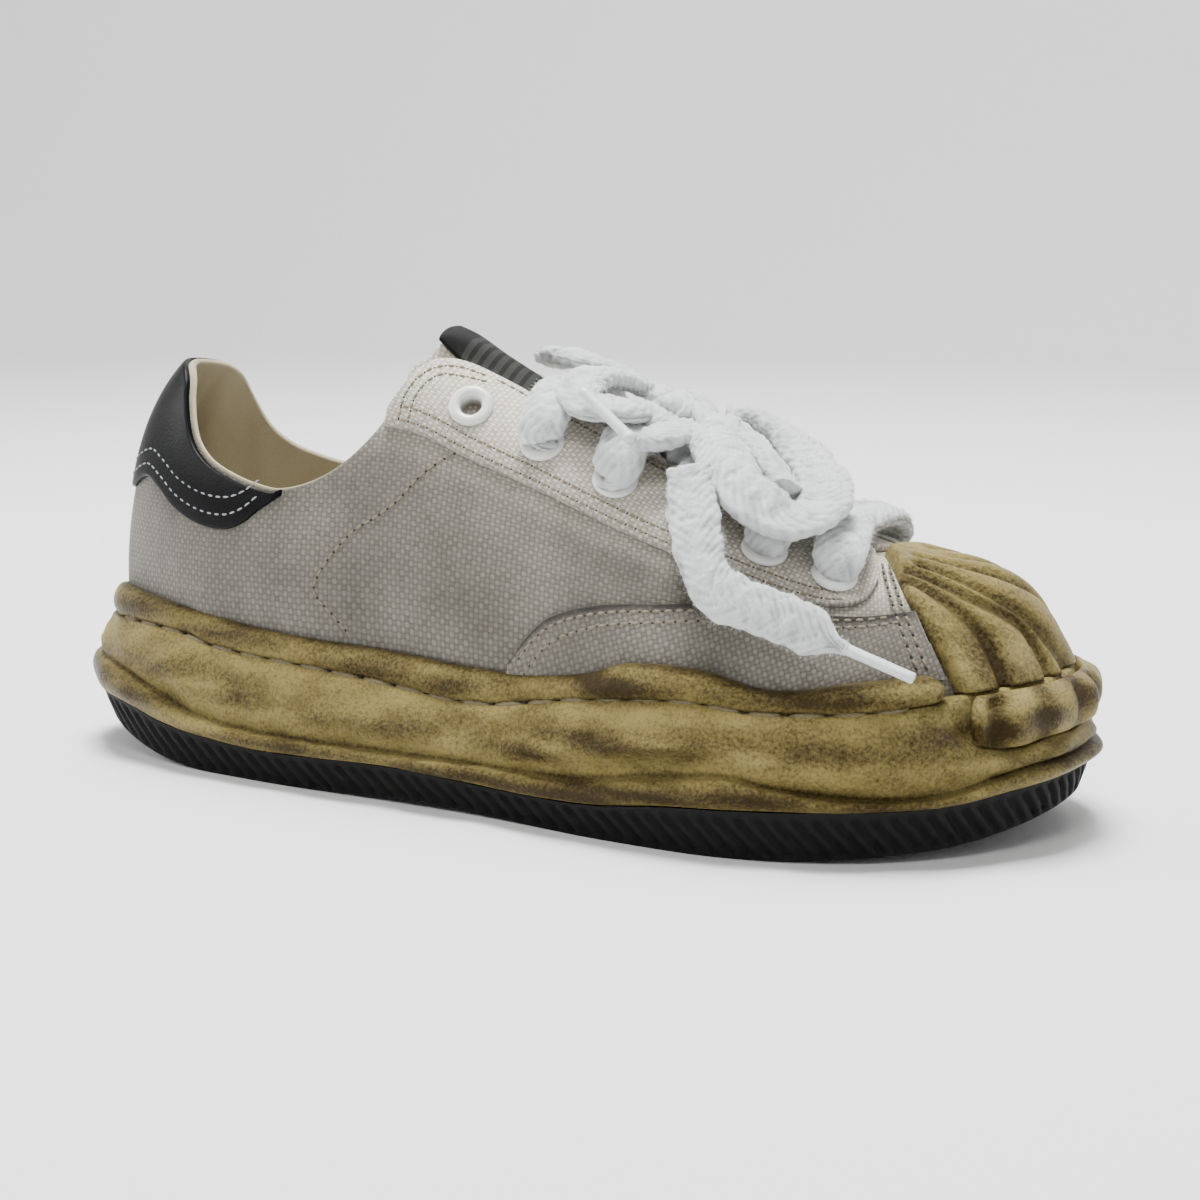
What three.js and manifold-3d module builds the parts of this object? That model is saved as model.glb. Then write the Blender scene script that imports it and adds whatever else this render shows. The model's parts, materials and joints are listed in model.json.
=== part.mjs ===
// A worn low canvas sneaker with a thick, wavy rubber sole: the right shoe, laced and tied.
// Sizes are millimetres. X runs from the heel to the toe, Z up from the floor, and the outer
// side of the foot is at minus Y. Places round the shoe are given as stations: 0 is the middle
// of the heel, 50 the tip of the toe by the outer side, and 100 the heel again by the inner side.
import * as THREE from "three";
import { mergeVertices } from "three/addons/utils/BufferGeometryUtils.js";
import Module from "manifold-3d";

const wasm = await Module();
wasm.setup();

// Driving dimensions

const gap = 0.3;
const canvasWall = 2.0;
const overlayThickness = 1.3;
const curvedGap = 0.5;
const overlayTop = curvedGap + overlayThickness;

// The widest line of the sole seen from above, from the heel round the outer side
const soleOutline = [
  [0, 0], [9, -21], [34, -35], [72, -43], [112, -47.5], [152, -52], [190, -59], [224, -61],
  [257, -53], [284, -35], [301, -12], [304, 14], [291, 38], [264, 54], [229, 58], [190, 50],
  [151, 42], [111, 40], [71, 43], [33, 38], [9, 22],
];

// The last: its feather line lies inside the sole outline, and its ribs rise to a top line
const featherInset = 12.8;
const featherHeight = 28;
const topLineX = [[0, 75], [10, 82], [17, 104], [22.5, 141], [31, 197], [38, 236], [44, 253], [50, 261]];
const topLineY = [[75, 0], [140, -2], [200, -1], [261, 4]];
const topLineZ = [
  [75, 130], [100, 131], [122, 126], [140, 117], [160, 107.5], [180, 98], [200, 89], [220, 80],
  [240, 71.5], [261, 66.5],
];
const ribFullness = [[0, 2.6], [15, 2.5], [25, 2.4], [35, 2.2], [42, 2.4], [50, 2.6]];
const ribBulge = [[0, 0.5], [8, 3], [15, 4.5], [25, 3], [35, 1], [42, 0.5], [50, 0]];

// Heights of the wavy lines round the sole, at stations
const ribBottomLine = [
  [0, 17.6], [2.7, 17.3], [5.7, 16.6], [8.3, 13.1], [11.5, 10.7], [14, 9.9], [20, 10.8], [25, 9.2],
  [28.5, 9.6], [32, 12.4], [37, 13.9], [41.5, 14.9], [45, 17.5], [48, 19.6], [51, 20], [55, 17.2],
  [59, 14.6], [64, 13.4], [68, 11.6], [72, 9.6], [77, 10.6], [82, 10], [87, 10.2], [91, 13],
  [94.5, 16.6], [97.5, 17.3],
];
const creaseLine = [
  [0, 29], [3, 29], [6.3, 25.8], [8.2, 22.2], [10.4, 17.5], [14, 15.3], [20.3, 15.4], [27.5, 16],
  [31.2, 20], [34, 22], [36, 19.7], [39.8, 17.6], [42.4, 18.6], [45.4, 23], [50, 24.5], [54, 23],
  [58, 18.8], [62, 18], [66, 21.5], [70, 19], [74, 16], [80, 15.5], [86, 15.6], [89.5, 17.8],
  [92, 22], [94, 26], [97, 29],
];
const grooveLine = [
  [0, 39], [4, 40], [8.8, 39.5], [10.7, 37], [15, 35], [18.7, 33], [22.5, 30.6], [24.3, 30.9],
  [27.6, 35.3], [31.2, 38.3], [33, 38.5], [35.1, 37], [40, 38.5], [43.2, 41], [50, 42.5],
  [57, 41], [61, 38], [65, 39], [69, 36], [73, 33.5], [76.5, 31.5], [81, 33.5], [85, 35.5],
  [89, 37], [93, 39.5], [97, 39.5],
];
const foxingTopLine = [
  [0, 47.5], [4, 49.5], [7.5, 47.6], [11, 44.8], [15.5, 42.3], [20, 41], [24, 39.2], [26, 40],
  [28, 42.3], [29.7, 46.2], [32.6, 46.5], [35.6, 42.6], [39, 45], [42, 46.3], [43.5, 45], [50, 45],
  [57, 45], [60, 46], [64, 43.5], [68, 46.5], [72, 42.5], [77, 39.6], [82, 42], [87, 44], [92, 47.5],
  [96, 49.5],
];
const bumperBottomLine = [
  [42.6, 33], [43.6, 30], [45, 28.3], [46.5, 29.6], [48.5, 30.1], [50.5, 31.4], [53, 30], [55, 28.6],
  [56.6, 30.5], [57.4, 33],
];

// The side profile of the floor line: heel lift, arch and toe spring
const heelLift = 16.3;
const heelLiftEnd = 60;
const toeSpring = 8.1;
const toeSpringStart = 215;
const toeBevel = 4.2;
const toeBevelStart = 270;
const archRelief = 1.2;
const archStart = 85;
const archEnd = 178;
const outsoleBottomInset = 6;

// Inside bed
const bedHeight = 29.5;
const bedHeelRise = 4;
const bedToeRise = 5;
const insoleThickness = 4;

// The collar and throat edge, the overlays' edges, as [station, height along the rib from 0 to 1]
const throatEnd = 38.8;
const edgeLine = [
  [0, 0.624], [2, 0.618], [4, 0.6], [5.5, 0.56], [6.5, 0.505], [7.5, 0.445], [8.5, 0.392],
  [9.7, 0.352], [11, 0.327], [12.5, 0.308], [14, 0.302], [15.8, 0.333], [17.2, 0.393], [18.3, 0.48],
  [18.8, 0.56], [19.4, 0.66], [20.2, 0.75], [21.3, 0.81], [22.5, 0.832], [25, 0.83], [35.5, 0.83],
  [37, 0.87], [38.1, 0.94], [throatEnd, 1],
];
const heelTabLower = [
  [0, 0.25], [3, 0.264], [5.2, 0.295], [6.6, 0.277], [8.3, 0.24], [10, 0.217], [11.4, 0.214],
  [12.3, 0.229], [13.1, 0.258], [14.1, 0.29],
];
const heelTabEnd = 14.1;
const eyestayLower = [[18.5, 0.475], [20, 0.484], [36, 0.49], [38, 0.51], [39.3, 0.58], [39.9, 0.7]];
const eyestayStart = 18.5;
const eyestayEnd = 39.9;
const patchUpper = [
  [24.4, 0.07], [25.1, 0.126], [26.1, 0.189], [28.1, 0.258], [30.4, 0.314], [32.4, 0.365],
  [35.1, 0.421], [38.9, 0.478], [41.4, 0.53],
];
const patchStart = 24.4;
const patchEnd = 41.4;
const capRearLine = [[0, 43.1], [0.2, 42.4], [0.4, 41.7], [0.6, 41.2], [0.87, 40.9], [1, 40.9]];

// Toe cap: thin over the top and thick at its foot, with soft troughs that fan out forwards
const capThickness = 3.7;
const capFootThickness = 6.2;
const capFootStart = 0.25;
const troughDepth = 1.5;
const troughWidth = 2.6;
const capTroughs = [
  [[259, -24], [266, -28.3], [271, -29.6], [274, -31]],
  [[256, -17], [268, -18.2], [275, -18], [280, -19], [284, -21]],
  [[256, -13.5], [269, -13.5], [277, -10.5], [284, -7], [293, -7]],
  [[258, -9], [272, -8.5], [281, -5.5], [289, 0.5], [295, 10]],
  [[256, -3], [268, -2], [278, 3], [286, 12], [291, 21]],
  [[256, 3], [266, 6], [275, 13], [282, 22], [285, 30]],
  [[256, 10], [264, 15], [271, 23], [276, 33]],
  [[257, 18], [262, 25], [266, 33], [269, 39]],
];

// Eyelets, lace and tongue
const eyeletStations = [21.85, 24.9, 28.05, 31.2, 34.5, 37.6];
const eyeletRow = 0.64;
const eyeletHole = 3.0;
const eyeletBarrel = 4.1;
const eyeletFlange = 6.2;
const eyeletHeight = 1;
const eyeletDepth = 2.5;
const eyeletSides = 8;
const eyeletTurn = 0.2;
const laceWidth = 12;
const laceThickness = 4;
const tongueThickness = 4;
const tongueDepth = 3.5;
const tongueRise = 3.7;
const tongueFront = 35.5;
const tongueRearLine = [[0.48, 18.75], [0.54, 18.4], [0.6, 18.6], [0.7, 18.95], [0.8, 19.55], [1, 20]];
const tongueSide = [[18, 0.49], [24, 0.55], [36, 0.6]];

// Colours from the shoe
const canvasColour = 0xcfcabd;
const rubberColour = 0xcdb98a;
const soleBlack = 0x1b1b1c;
const leatherBlack = 0x17181c;
const laceWhite = 0xe9ebec;
const enamelWhite = 0xe4e6e8;
const liningColour = 0xd9d3bf;
const labelGrey = 0x8c8f88;

// Curves through hand-placed points

// A smooth value through [position, value] points
function smooth(points, x) {
  const last = points.length - 1;
  const at = Math.min(Math.max(x, points[0][0]), points[last][0]);
  let i = 0;
  while (i < last - 1 && at > points[i + 1][0]) i += 1;
  const slope = (k) => {
    const a = points[Math.max(k - 1, 0)];
    const b = points[Math.min(k + 1, last)];
    return (b[1] - a[1]) / (b[0] - a[0]);
  };
  const width = points[i + 1][0] - points[i][0];
  const f = (at - points[i][0]) / width;
  const f2 = f * f;
  const f3 = f2 * f;
  return (2 * f3 - 3 * f2 + 1) * points[i][1] + (f3 - 2 * f2 + f) * width * slope(i)
    + (3 * f2 - 2 * f3) * points[i + 1][1] + (f3 - f2) * width * slope(i + 1);
}

// The same for a line that runs round the whole shoe
function around(points, station) {
  const before = points.slice(-3).map(([s, v]) => [s - 100, v]);
  const after = points.slice(0, 3).map(([s, v]) => [s + 100, v]);
  return smooth([...before, ...points, ...after], ((station % 100) + 100) % 100);
}

function mix(a, b, f) {
  return a + (b - a) * f;
}

function ramp(x, start, end) {
  const f = Math.min(Math.max((x - start) / (end - start), 0), 1);
  return f * f * (3 - 2 * f);
}

// Distance of a station from the heel, the same on both sides
function fromHeel(station) {
  const s = ((station % 100) + 100) % 100;
  return Math.min(s, 100 - s);
}

const outlineCurve = new THREE.CatmullRomCurve3(
  soleOutline.map(([x, y]) => new THREE.Vector3(x, y, 0)), true, "catmullrom", 0.5,
);
outlineCurve.arcLengthDivisions = 840;

// A point on the sole outline, moved inwards by the inset
function outline(station, inset = 0) {
  const u = (((station % 100) + 100) % 100) / 100;
  const point = outlineCurve.getPointAt(u);
  const step = 0.003;
  const tangent = outlineCurve.getPointAt((u + step) % 1).sub(outlineCurve.getPointAt((u + 1 - step) % 1));
  tangent.normalize();
  return new THREE.Vector3(point.x - tangent.y * inset, point.y + tangent.x * inset, 0);
}

// The surface of the last. t goes from 0 at the feather line to 1 at the top line.
function lastPoint(station, t) {
  const c = fromHeel(station);
  const foot = outline(station, featherInset);
  const topX = smooth(topLineX, c);
  const topY = smooth(topLineY, topX);
  const topZ = smooth(topLineZ, topX);
  const power = 2 / smooth(ribFullness, c);
  const angle = t * Math.PI / 2;
  const across = Math.max(Math.cos(angle), 0) ** power;
  const up = Math.max(Math.sin(angle), 0) ** power;
  const reach = Math.hypot(foot.x - topX, foot.y - topY);
  const bulge = smooth(ribBulge, c) * Math.sin(Math.PI * up) * (1 - up) * 1.6;
  const k = across + bulge / reach;
  return new THREE.Vector3(
    topX + (foot.x - topX) * k, topY + (foot.y - topY) * k, mix(featherHeight, topZ, up),
  );
}

function surfaceNormal(station, t) {
  const ds = 0.05;
  const dt = 0.01;
  const safe = Math.min(Math.max(t, 0.012), 0.985);
  const along = lastPoint(station + ds, safe).sub(lastPoint(station - ds, safe));
  const up = lastPoint(station, safe + dt).sub(lastPoint(station, safe - dt));
  return along.cross(up).normalize();
}

// The last's surface grown by a distance; near the top line both sides share one normal
function skin(station, t, out = 0) {
  const point = lastPoint(station, t);
  if (out === 0) return point;
  const share = ramp(t, 0.94, 1) / 2;
  const normal = surfaceNormal(station, t).multiplyScalar(1 - share);
  if (share > 0) normal.addScaledVector(surfaceNormal(100 - station, t), share);
  return point.addScaledVector(normal.normalize(), out);
}

// The rib position at a height above the floor
function ribAt(station, height) {
  const c = fromHeel(station);
  const topZ = smooth(topLineZ, smooth(topLineX, c));
  const up = Math.max((height - featherHeight) / (topZ - featherHeight), 0);
  return Math.asin(up ** (smooth(ribFullness, c) / 2)) * 2 / Math.PI;
}

function floorLine(x) {
  let z = 0;
  if (x < heelLiftEnd) z += heelLift * ((heelLiftEnd - x) / heelLiftEnd) ** 2;
  if (x > toeSpringStart) z += toeSpring * ((x - toeSpringStart) / 90) ** 2;
  if (x > toeBevelStart) z += toeBevel * ((x - toeBevelStart) / 30) ** 2;
  if (x > archStart && x < archEnd) {
    z += archRelief * Math.sin(Math.PI * (x - archStart) / (archEnd - archStart)) ** 2;
  }
  return z;
}

function bedLine(x) {
  return bedHeight + bedHeelRise * (1 - ramp(x, 50, 120)) + bedToeRise * ramp(x, 225, 300);
}

// Building closed meshes

// Stations of the columns, the same in every piece, so that neighbours meet facet to facet
const halfStations = [
  0, 2, 4, 6, 8, 9.8, 11.6, 12.8, 14.1, 16, 17.4, 18.5, 19.3, 20.4, 22.2, 24.4, 26.6, 29, 31.4,
  33.6, 36, 37.5, throatEnd, 40.1, 41.4, 42.6, 43.7, 45.4, 47.6, 50,
];
const stations = [...halfStations, ...halfStations.slice(1, -1).reverse().map((s) => 100 - s)];
const half = halfStations.length - 1;

// Two triangles for every four neighbours of a grid of points
function addGrid(triangles, rows, flip = false) {
  for (let i = 0; i + 1 < rows.length; i += 1) {
    for (let j = 0; j + 1 < rows[i].length; j += 1) {
      const a = rows[i][j];
      const b = rows[i][j + 1];
      const c = rows[i + 1][j + 1];
      const d = rows[i + 1][j];
      if (flip) triangles.push([a, c, b], [a, d, c]);
      else triangles.push([a, b, c], [a, c, d]);
    }
  }
}

// A geometry from triangles that close up; its faces are turned to point out
function closedGeometry(triangles) {
  const points = triangles.flat().flatMap((p) => [p.x, p.y, p.z]);
  let geometry = new THREE.BufferGeometry();
  geometry.setAttribute("position", new THREE.Float32BufferAttribute(points, 3));
  geometry = mergeVertices(geometry, 2e-3);
  const index = Array.from(geometry.index.array);
  const position = geometry.attributes.position;
  const corner = (k) => new THREE.Vector3().fromBufferAttribute(position, k);
  const kept = [];
  let volume = 0;
  for (let i = 0; i < index.length; i += 3) {
    const [a, b, c] = index.slice(i, i + 3);
    if (a === b || b === c || a === c) continue;
    kept.push([a, b, c]);
    volume += corner(a).dot(corner(b).cross(corner(c)));
  }
  geometry.setIndex(kept.flatMap(([a, b, c]) => (volume > 0 ? [a, b, c] : [a, c, b])));
  geometry.computeVertexNormals();
  return geometry;
}

// A body of rings round the shoe, closed by strips across from the outer to the inner side
function ringBody(rings) {
  const triangles = [];
  const closed = rings.map((ring) => [...ring, ring[0]]);
  addGrid(triangles, closed);
  const across = (ring, flip) => {
    const outer = ring.slice(0, half + 1);
    const inner = [ring[0], ...ring.slice(half).reverse()];
    addGrid(triangles, [outer, inner], flip);
  };
  across(rings[0], true);
  across(rings[rings.length - 1], false);
  return closedGeometry(triangles);
}

// A strip whose cross-section is a closed outline, given at each step along its length
function sweptBody(sections) {
  const triangles = [];
  addGrid(triangles, sections.map((section) => [...section, section[0]]));
  const cap = (section, flip) => {
    const count = section.length;
    for (let i = 0; i + 1 < count / 2; i += 1) {
      const a = section[i];
      const b = section[i + 1];
      const c = section[count - 2 - i];
      const d = section[count - 1 - i];
      triangles.push(flip ? [a, c, b] : [a, b, c], flip ? [a, d, c] : [a, c, d]);
    }
  };
  cap(sections[0], true);
  cap(sections[sections.length - 1], false);
  return closedGeometry(triangles);
}

// A thin panel between two grids of points, closed all round its edge. The last row of a
// zipped panel folds onto itself at the top line, so it has no edge there.
function panelBody(outer, inner, zipped = false) {
  const triangles = [];
  addGrid(triangles, outer);
  addGrid(triangles, inner, true);
  const edge = (grid) => {
    const top = zipped ? [] : [...grid[grid.length - 1]].reverse().slice(1);
    const left = grid.map((row) => row[0]).reverse();
    const right = grid.map((row) => row[row.length - 1]);
    return [...left, ...grid[0].slice(1), ...right.slice(1), ...top];
  };
  addGrid(triangles, [edge(inner), edge(outer)]);
  return closedGeometry(triangles);
}

function toManifold(geometry) {
  const bare = geometry.clone();
  bare.deleteAttribute("normal");
  bare.deleteAttribute("uv");
  const merged = mergeVertices(bare, 1e-4);
  const mesh = new wasm.Mesh({
    numProp: 3,
    vertProperties: new Float32Array(merged.attributes.position.array),
    triVerts: new Uint32Array(merged.index.array),
  });
  return new wasm.Manifold(mesh);
}

function toGeometry(solid) {
  const mesh = solid.getMesh();
  const geometry = new THREE.BufferGeometry();
  geometry.setAttribute("position", new THREE.BufferAttribute(mesh.vertProperties, 3));
  geometry.setIndex(Array.from(mesh.triVerts));
  geometry.computeVertexNormals();
  return geometry;
}

const shoe = new THREE.Group();

function addPiece(name, geometry, colour, roughness = 0.8) {
  const material = new THREE.MeshStandardMaterial({ color: colour, roughness, metalness: 0 });
  const mesh = new THREE.Mesh(geometry, material);
  mesh.name = name;
  shoe.add(mesh);
  return mesh;
}

// Sole

function soleRing(inset, height) {
  return stations.map((s) => {
    const point = outline(s, inset(s));
    point.z = height(s, point.x);
    return point;
  });
}

const ribBottom = (s) => around(ribBottomLine, s);
const crease = (s) => around(creaseLine, s);
const groove = (s) => around(grooveLine, s);
const foxingTop = (s) => around(foxingTopLine, s);

// 1 where the toe bumper takes the place of the upper part of the side wall
function atBumper(s) {
  return ramp(s, 41.6, 43) * (1 - ramp(s, 57, 58.4));
}

// The floor surface is cut by chevron grooves, apart from a plain round pad at heel and ball
const treadDepth = 2.2;
const treadWidth = 2.6;
const treadPitch = 14;
const treadSlope = 0.32;
const padRadius = 10;
const heelPad = [73, 0];
const ballPad = [197, -2];

function buildOutsole() {
  const bottom = soleRing(() => outsoleBottomInset, (s, x) => floorLine(x));
  const flare = soleRing(() => 4.4, (s, x) => mix(floorLine(x), ribBottom(s), 0.55));
  const top = soleRing(() => 3.4, (s) => ribBottom(s) - gap / 2);
  const body = toManifold(ringBody([bottom, flare, top]));
  const profile = new THREE.Shape();
  profile.moveTo(-10, -10);
  profile.lineTo(315, -10);
  for (let x = 315; x >= -10; x -= 12.5) profile.lineTo(x, floorLine(x) + treadDepth);
  const layer = new THREE.ExtrudeGeometry(profile, { depth: 140, bevelEnabled: false });
  layer.rotateX(Math.PI / 2);
  layer.translate(0, 70, 0);
  const grooves = [];
  for (let x = 4; x < 305; x += treadPitch) {
    const chevron = new THREE.Shape();
    const arm = 70;
    const back = arm * treadSlope;
    chevron.moveTo(x, 0);
    chevron.lineTo(x - back, arm);
    chevron.lineTo(x - back - treadWidth, arm);
    chevron.lineTo(x - treadWidth, 0);
    chevron.lineTo(x - back - treadWidth, -arm);
    chevron.lineTo(x - back, -arm);
    const prism = new THREE.ExtrudeGeometry(chevron, { depth: 50, bevelEnabled: false });
    prism.translate(0, 0, -20);
    grooves.push(toManifold(prism));
  }
  const pads = [heelPad, ballPad].map(([x, y]) => {
    const pad = new THREE.CylinderGeometry(padRadius, padRadius, 40, 16);
    pad.rotateX(Math.PI / 2);
    pad.translate(x, y, 0);
    return toManifold(pad);
  });
  let cutter = wasm.Manifold.union(grooves).intersect(toManifold(layer));
  pads.forEach((pad) => {
    cutter = cutter.subtract(pad);
  });
  return toGeometry(body.subtract(cutter));
}

function buildMidsole() {
  const between = (s, f) => mix(ribBottom(s), crease(s), f);
  const wallTop = (s) => mix(groove(s), around(bumperBottomLine, s), atBumper(s));
  const wall = (s, f) => mix(crease(s), wallTop(s), f);
  const heel = (s) => 1 - ramp(fromHeel(s), 4, 12);
  const rings = [
    soleRing(() => 3.4, (s) => ribBottom(s) + gap / 2),
    soleRing(() => 1.2, (s) => between(s, 0.22)),
    soleRing(() => 0, (s) => between(s, 0.55)),
    soleRing(() => 3.6, (s) => crease(s)),
    soleRing(() => 2.8, (s) => wall(s, 0.2)),
    soleRing((s) => 2.6 + 1.8 * heel(s), (s) => wall(s, 0.5)),
    soleRing((s) => 4 + 2 * heel(s), (s) => wall(s, 0.8)),
    soleRing((s) => 7 + heel(s), (s) => wallTop(s) + 0.3 * atBumper(s)),
    soleRing((s) => 8.5 + heel(s), (s) => groove(s)),
    stations.map((s) => skin(s, ribAt(s, groove(s)), curvedGap)),
    stations.map((s) => {
      const foot = outline(s, featherInset);
      return skin(s, ribAt(s, bedLine(foot.x) - gap), curvedGap);
    }),
  ];
  return ringBody(rings);
}

// A band swept past stations, with each section given as a list of points
function bandBody(from, to, section) {
  const inside = stations.map((s) => (s >= from % 100 && from >= 50 ? s : s + 100));
  const span = inside.filter((s) => s > from && s < to).sort((a, b) => a - b);
  return sweptBody([from, ...span, to].map((s) => section(s)));
}

function sidePoint(s, inset, height) {
  const point = outline(s, inset);
  point.z = height;
  return point;
}

function foxingSection(s) {
  const low = groove(s) + gap;
  const high = foxingTop(s);
  const heel = 1 - ramp(fromHeel(s), 4, 12);
  const foot = 6.6 + 1.6 * heel;
  return [
    sidePoint(s, foot + 0.9, low),
    sidePoint(s, foot - 0.4, mix(low, high, 0.35)),
    sidePoint(s, foot + 0.2, mix(low, high, 0.7)),
    sidePoint(s, foot + 2.4, high),
    skin(s, ribAt(s, high - 0.2), curvedGap),
    skin(s, ribAt(s, mix(low, high, 0.5)), curvedGap),
    skin(s, ribAt(s, low), curvedGap),
  ];
}

function bumperSection(s) {
  const low = around(bumperBottomLine, s) + gap;
  const high = groove(s) + 0.2;
  const lump = 0.9 * Math.sin((s - 43) * 1.35) * Math.sin((s - 50) * 0.5 + 1);
  return [
    sidePoint(s, 6.7, low + 0.7),
    sidePoint(s, 3.4, low),
    sidePoint(s, 1.4 - lump, mix(low, high, 0.25)),
    sidePoint(s, 1.2 - lump, mix(low, high, 0.55)),
    sidePoint(s, 2.6 - lump, mix(low, high, 0.85)),
    sidePoint(s, 5, high),
    sidePoint(s, 6.7, high),
    sidePoint(s, 6.7, mix(low, high, 0.5)),
  ];
}

// Upper

function edgeHeight(station) {
  const c = fromHeel(station);
  return c > throatEnd - 0.01 ? 1 : Math.min(smooth(edgeLine, c), 1);
}

function buildUpper() {
  const steps = 6;
  const rows = (out) => Array.from({ length: steps + 1 }, (_, i) => stations.map((s) => {
    const foot = ribAt(s, bedLine(outline(s, featherInset).x));
    return skin(s, mix(foot, edgeHeight(s), i / steps), out);
  }));
  const outer = rows(0).map((row) => [...row, row[0]]);
  const inner = rows(-canvasWall).map((row) => [...row, row[0]]);
  const triangles = [];
  addGrid(triangles, outer);
  addGrid(triangles, inner, true);
  addGrid(triangles, [inner[0], outer[0]]);
  const count = halfStations.indexOf(throatEnd) + 1;
  const open = (row) => [row.slice(0, count), row.slice(-count)];
  const [outerA, outerB] = open(outer[steps]);
  const [innerA, innerB] = open(inner[steps]);
  addGrid(triangles, [outerA, innerA]);
  addGrid(triangles, [outerB, innerB]);
  return closedGeometry(triangles);
}

// A panel laid on the last between two lines; the station may shift with the height
function overlay({ list, lower, upper, rows, thick, seat = curvedGap, shift = (s) => s }) {
  const grid = (out) => Array.from({ length: rows + 1 }, (_, i) => list.map((s) => {
    const t = mix(lower(s), upper(s), i / rows);
    return skin(shift(s, t), t, typeof out === "function" ? out(s, t) : out);
  }));
  return panelBody(grid(thick), grid(seat));
}

function between(from, to, extra = []) {
  const inner = halfStations.filter((s) => s > from + 0.2 && s < to - 0.2);
  return [from, ...inner, ...extra, to].sort((a, b) => a - b);
}

const mirrored = (list) => list.map((s) => 100 - s);

function eyestay(side) {
  const list = between(eyestayStart, eyestayEnd, [21, 33.4]);
  return overlay({
    list: side < 0 ? list : mirrored(list),
    lower: (s) => smooth(eyestayLower, fromHeel(s)),
    upper: (s) => Math.min(Math.max(edgeHeight(s) - 0.004, smooth(eyestayLower, fromHeel(s)) + 0.02), 0.975),
    rows: 4,
    seat: curvedGap + 0.2,
    thick: overlayTop,
  });
}

function sidePatch(side) {
  const list = between(patchStart, patchEnd);
  const toCap = (s, t) => {
    const c = fromHeel(s);
    const front = smooth(capRearLine, t) - 0.16;
    const moved = c + (front - patchEnd) * ramp(c, 37, patchEnd);
    return side < 0 ? moved : 100 - moved;
  };
  const foot = (s) => ribAt(s, foxingTop(s) + gap);
  return overlay({
    list: side < 0 ? list : mirrored(list),
    lower: foot,
    upper: (s) => Math.max(smooth(patchUpper, fromHeel(s)), foot(s) + 0.015),
    rows: 3,
    seat: curvedGap + 0.1,
    thick: (s, t) => overlayTop * (t < foot(s) + 1e-6 ? 0.9 : 1),
    shift: toCap,
  });
}

function heelTab() {
  const right = between(0, heelTabEnd);
  const list = [...mirrored(right).reverse().map((s) => s - 100), ...right.slice(1)];
  return overlay({
    list,
    lower: (s) => smooth(heelTabLower, Math.abs(s)),
    upper: (s) => Math.max(edgeHeight(s) - 0.014, smooth(heelTabLower, Math.abs(s)) + 0.012),
    rows: 4,
    thick: overlayTop,
  });
}

// Depth of the cap's troughs at a point seen from above
function troughAt(x, y) {
  let depth = 0;
  capTroughs.forEach((line) => {
    let nearest = Infinity;
    for (let i = 0; i + 1 < line.length; i += 1) {
      const [ax, ay] = line[i];
      const [bx, by] = line[i + 1];
      const length = (bx - ax) ** 2 + (by - ay) ** 2;
      const f = Math.min(Math.max(((x - ax) * (bx - ax) + (y - ay) * (by - ay)) / length, 0), 1);
      nearest = Math.min(nearest, Math.hypot(x - mix(ax, bx, f), y - mix(ay, by, f)));
    }
    depth = Math.max(depth, Math.exp(-((nearest / troughWidth) ** 2)));
  });
  return troughDepth * depth;
}

function toeCap() {
  const columns = 24;
  const rows = 6;
  const spread = Array.from({ length: columns + 1 }, (_, j) => j / columns);
  const grid = (thick) => Array.from({ length: rows + 1 }, (_, i) => spread.map((f) => {
    const row = i / rows;
    const rear = smooth(capRearLine, row);
    const s = mix(rear, 100 - rear, f);
    const foot = ribAt(s, groove(s) + 0.3 + gap);
    const t = mix(foot, 1, row);
    return skin(s, t, thick(s, t));
  }));
  const outside = (s, t) => {
    const plain = lastPoint(s, t);
    const swell = (capFootThickness - capThickness) * (1 - ramp(t, 0.1, capFootStart + 0.1));
    return capThickness + swell - troughAt(plain.x, plain.y) * (1 - ramp(t, 0.9, 1));
  };
  return panelBody(grid(outside), grid(() => curvedGap), true);
}

// Tongue, label and insole

// The tongue lies under the facings and rises where it stands clear behind them
function tongueTop(s, t) {
  const c = fromHeel(s);
  return -tongueDepth + tongueRise * ramp(t - edgeHeight(c), 0.06, 0.17) * (1 - ramp(c, 22, 28));
}

function buildTongue() {
  const columns = 9;
  const rows = [0, 0.25, 0.5, 0.75, 1];
  const grid = (depth) => {
    const side = (sign) => rows.map((row) => Array.from({ length: columns + 1 }, (_, j) => {
      const f = j / columns;
      const nominal = mix(18.7, tongueFront, f);
      const t = mix(smooth(tongueSide, nominal), 1, row);
      const c = mix(smooth(tongueRearLine, t), tongueFront, f);
      return skin(sign < 0 ? c : 100 - c, t, tongueTop(c, t) - depth);
    }));
    return [...side(-1), ...side(1).reverse().slice(1)];
  };
  return panelBody(grid(0), grid(tongueThickness));
}

// A woven label folded over the top edge of the tongue and sewn down its middle
const labelHalfWidth = 9;
const labelMiddle = -2.6;
const labelRear = 121.5;
const labelFront = 150;
const labelThickness = 0.8;
const labelGap = 1.1;

function tongueSurface(x, y, out) {
  const c = smooth(topLineX.map(([s, v]) => [v, s]), x);
  let low = 0.6;
  let high = 1;
  const sign = Math.sign(y - smooth(topLineY, x)) || 1;
  for (let k = 0; k < 24; k += 1) {
    const middle = (low + high) / 2;
    const reach = Math.abs(lastPoint(sign < 0 ? c : 100 - c, middle).y - smooth(topLineY, x));
    if (reach > Math.abs(y - smooth(topLineY, x))) low = middle;
    else high = middle;
  }
  return skin(sign < 0 ? c : 100 - c, high, tongueTop(c, high) + out);
}

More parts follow.
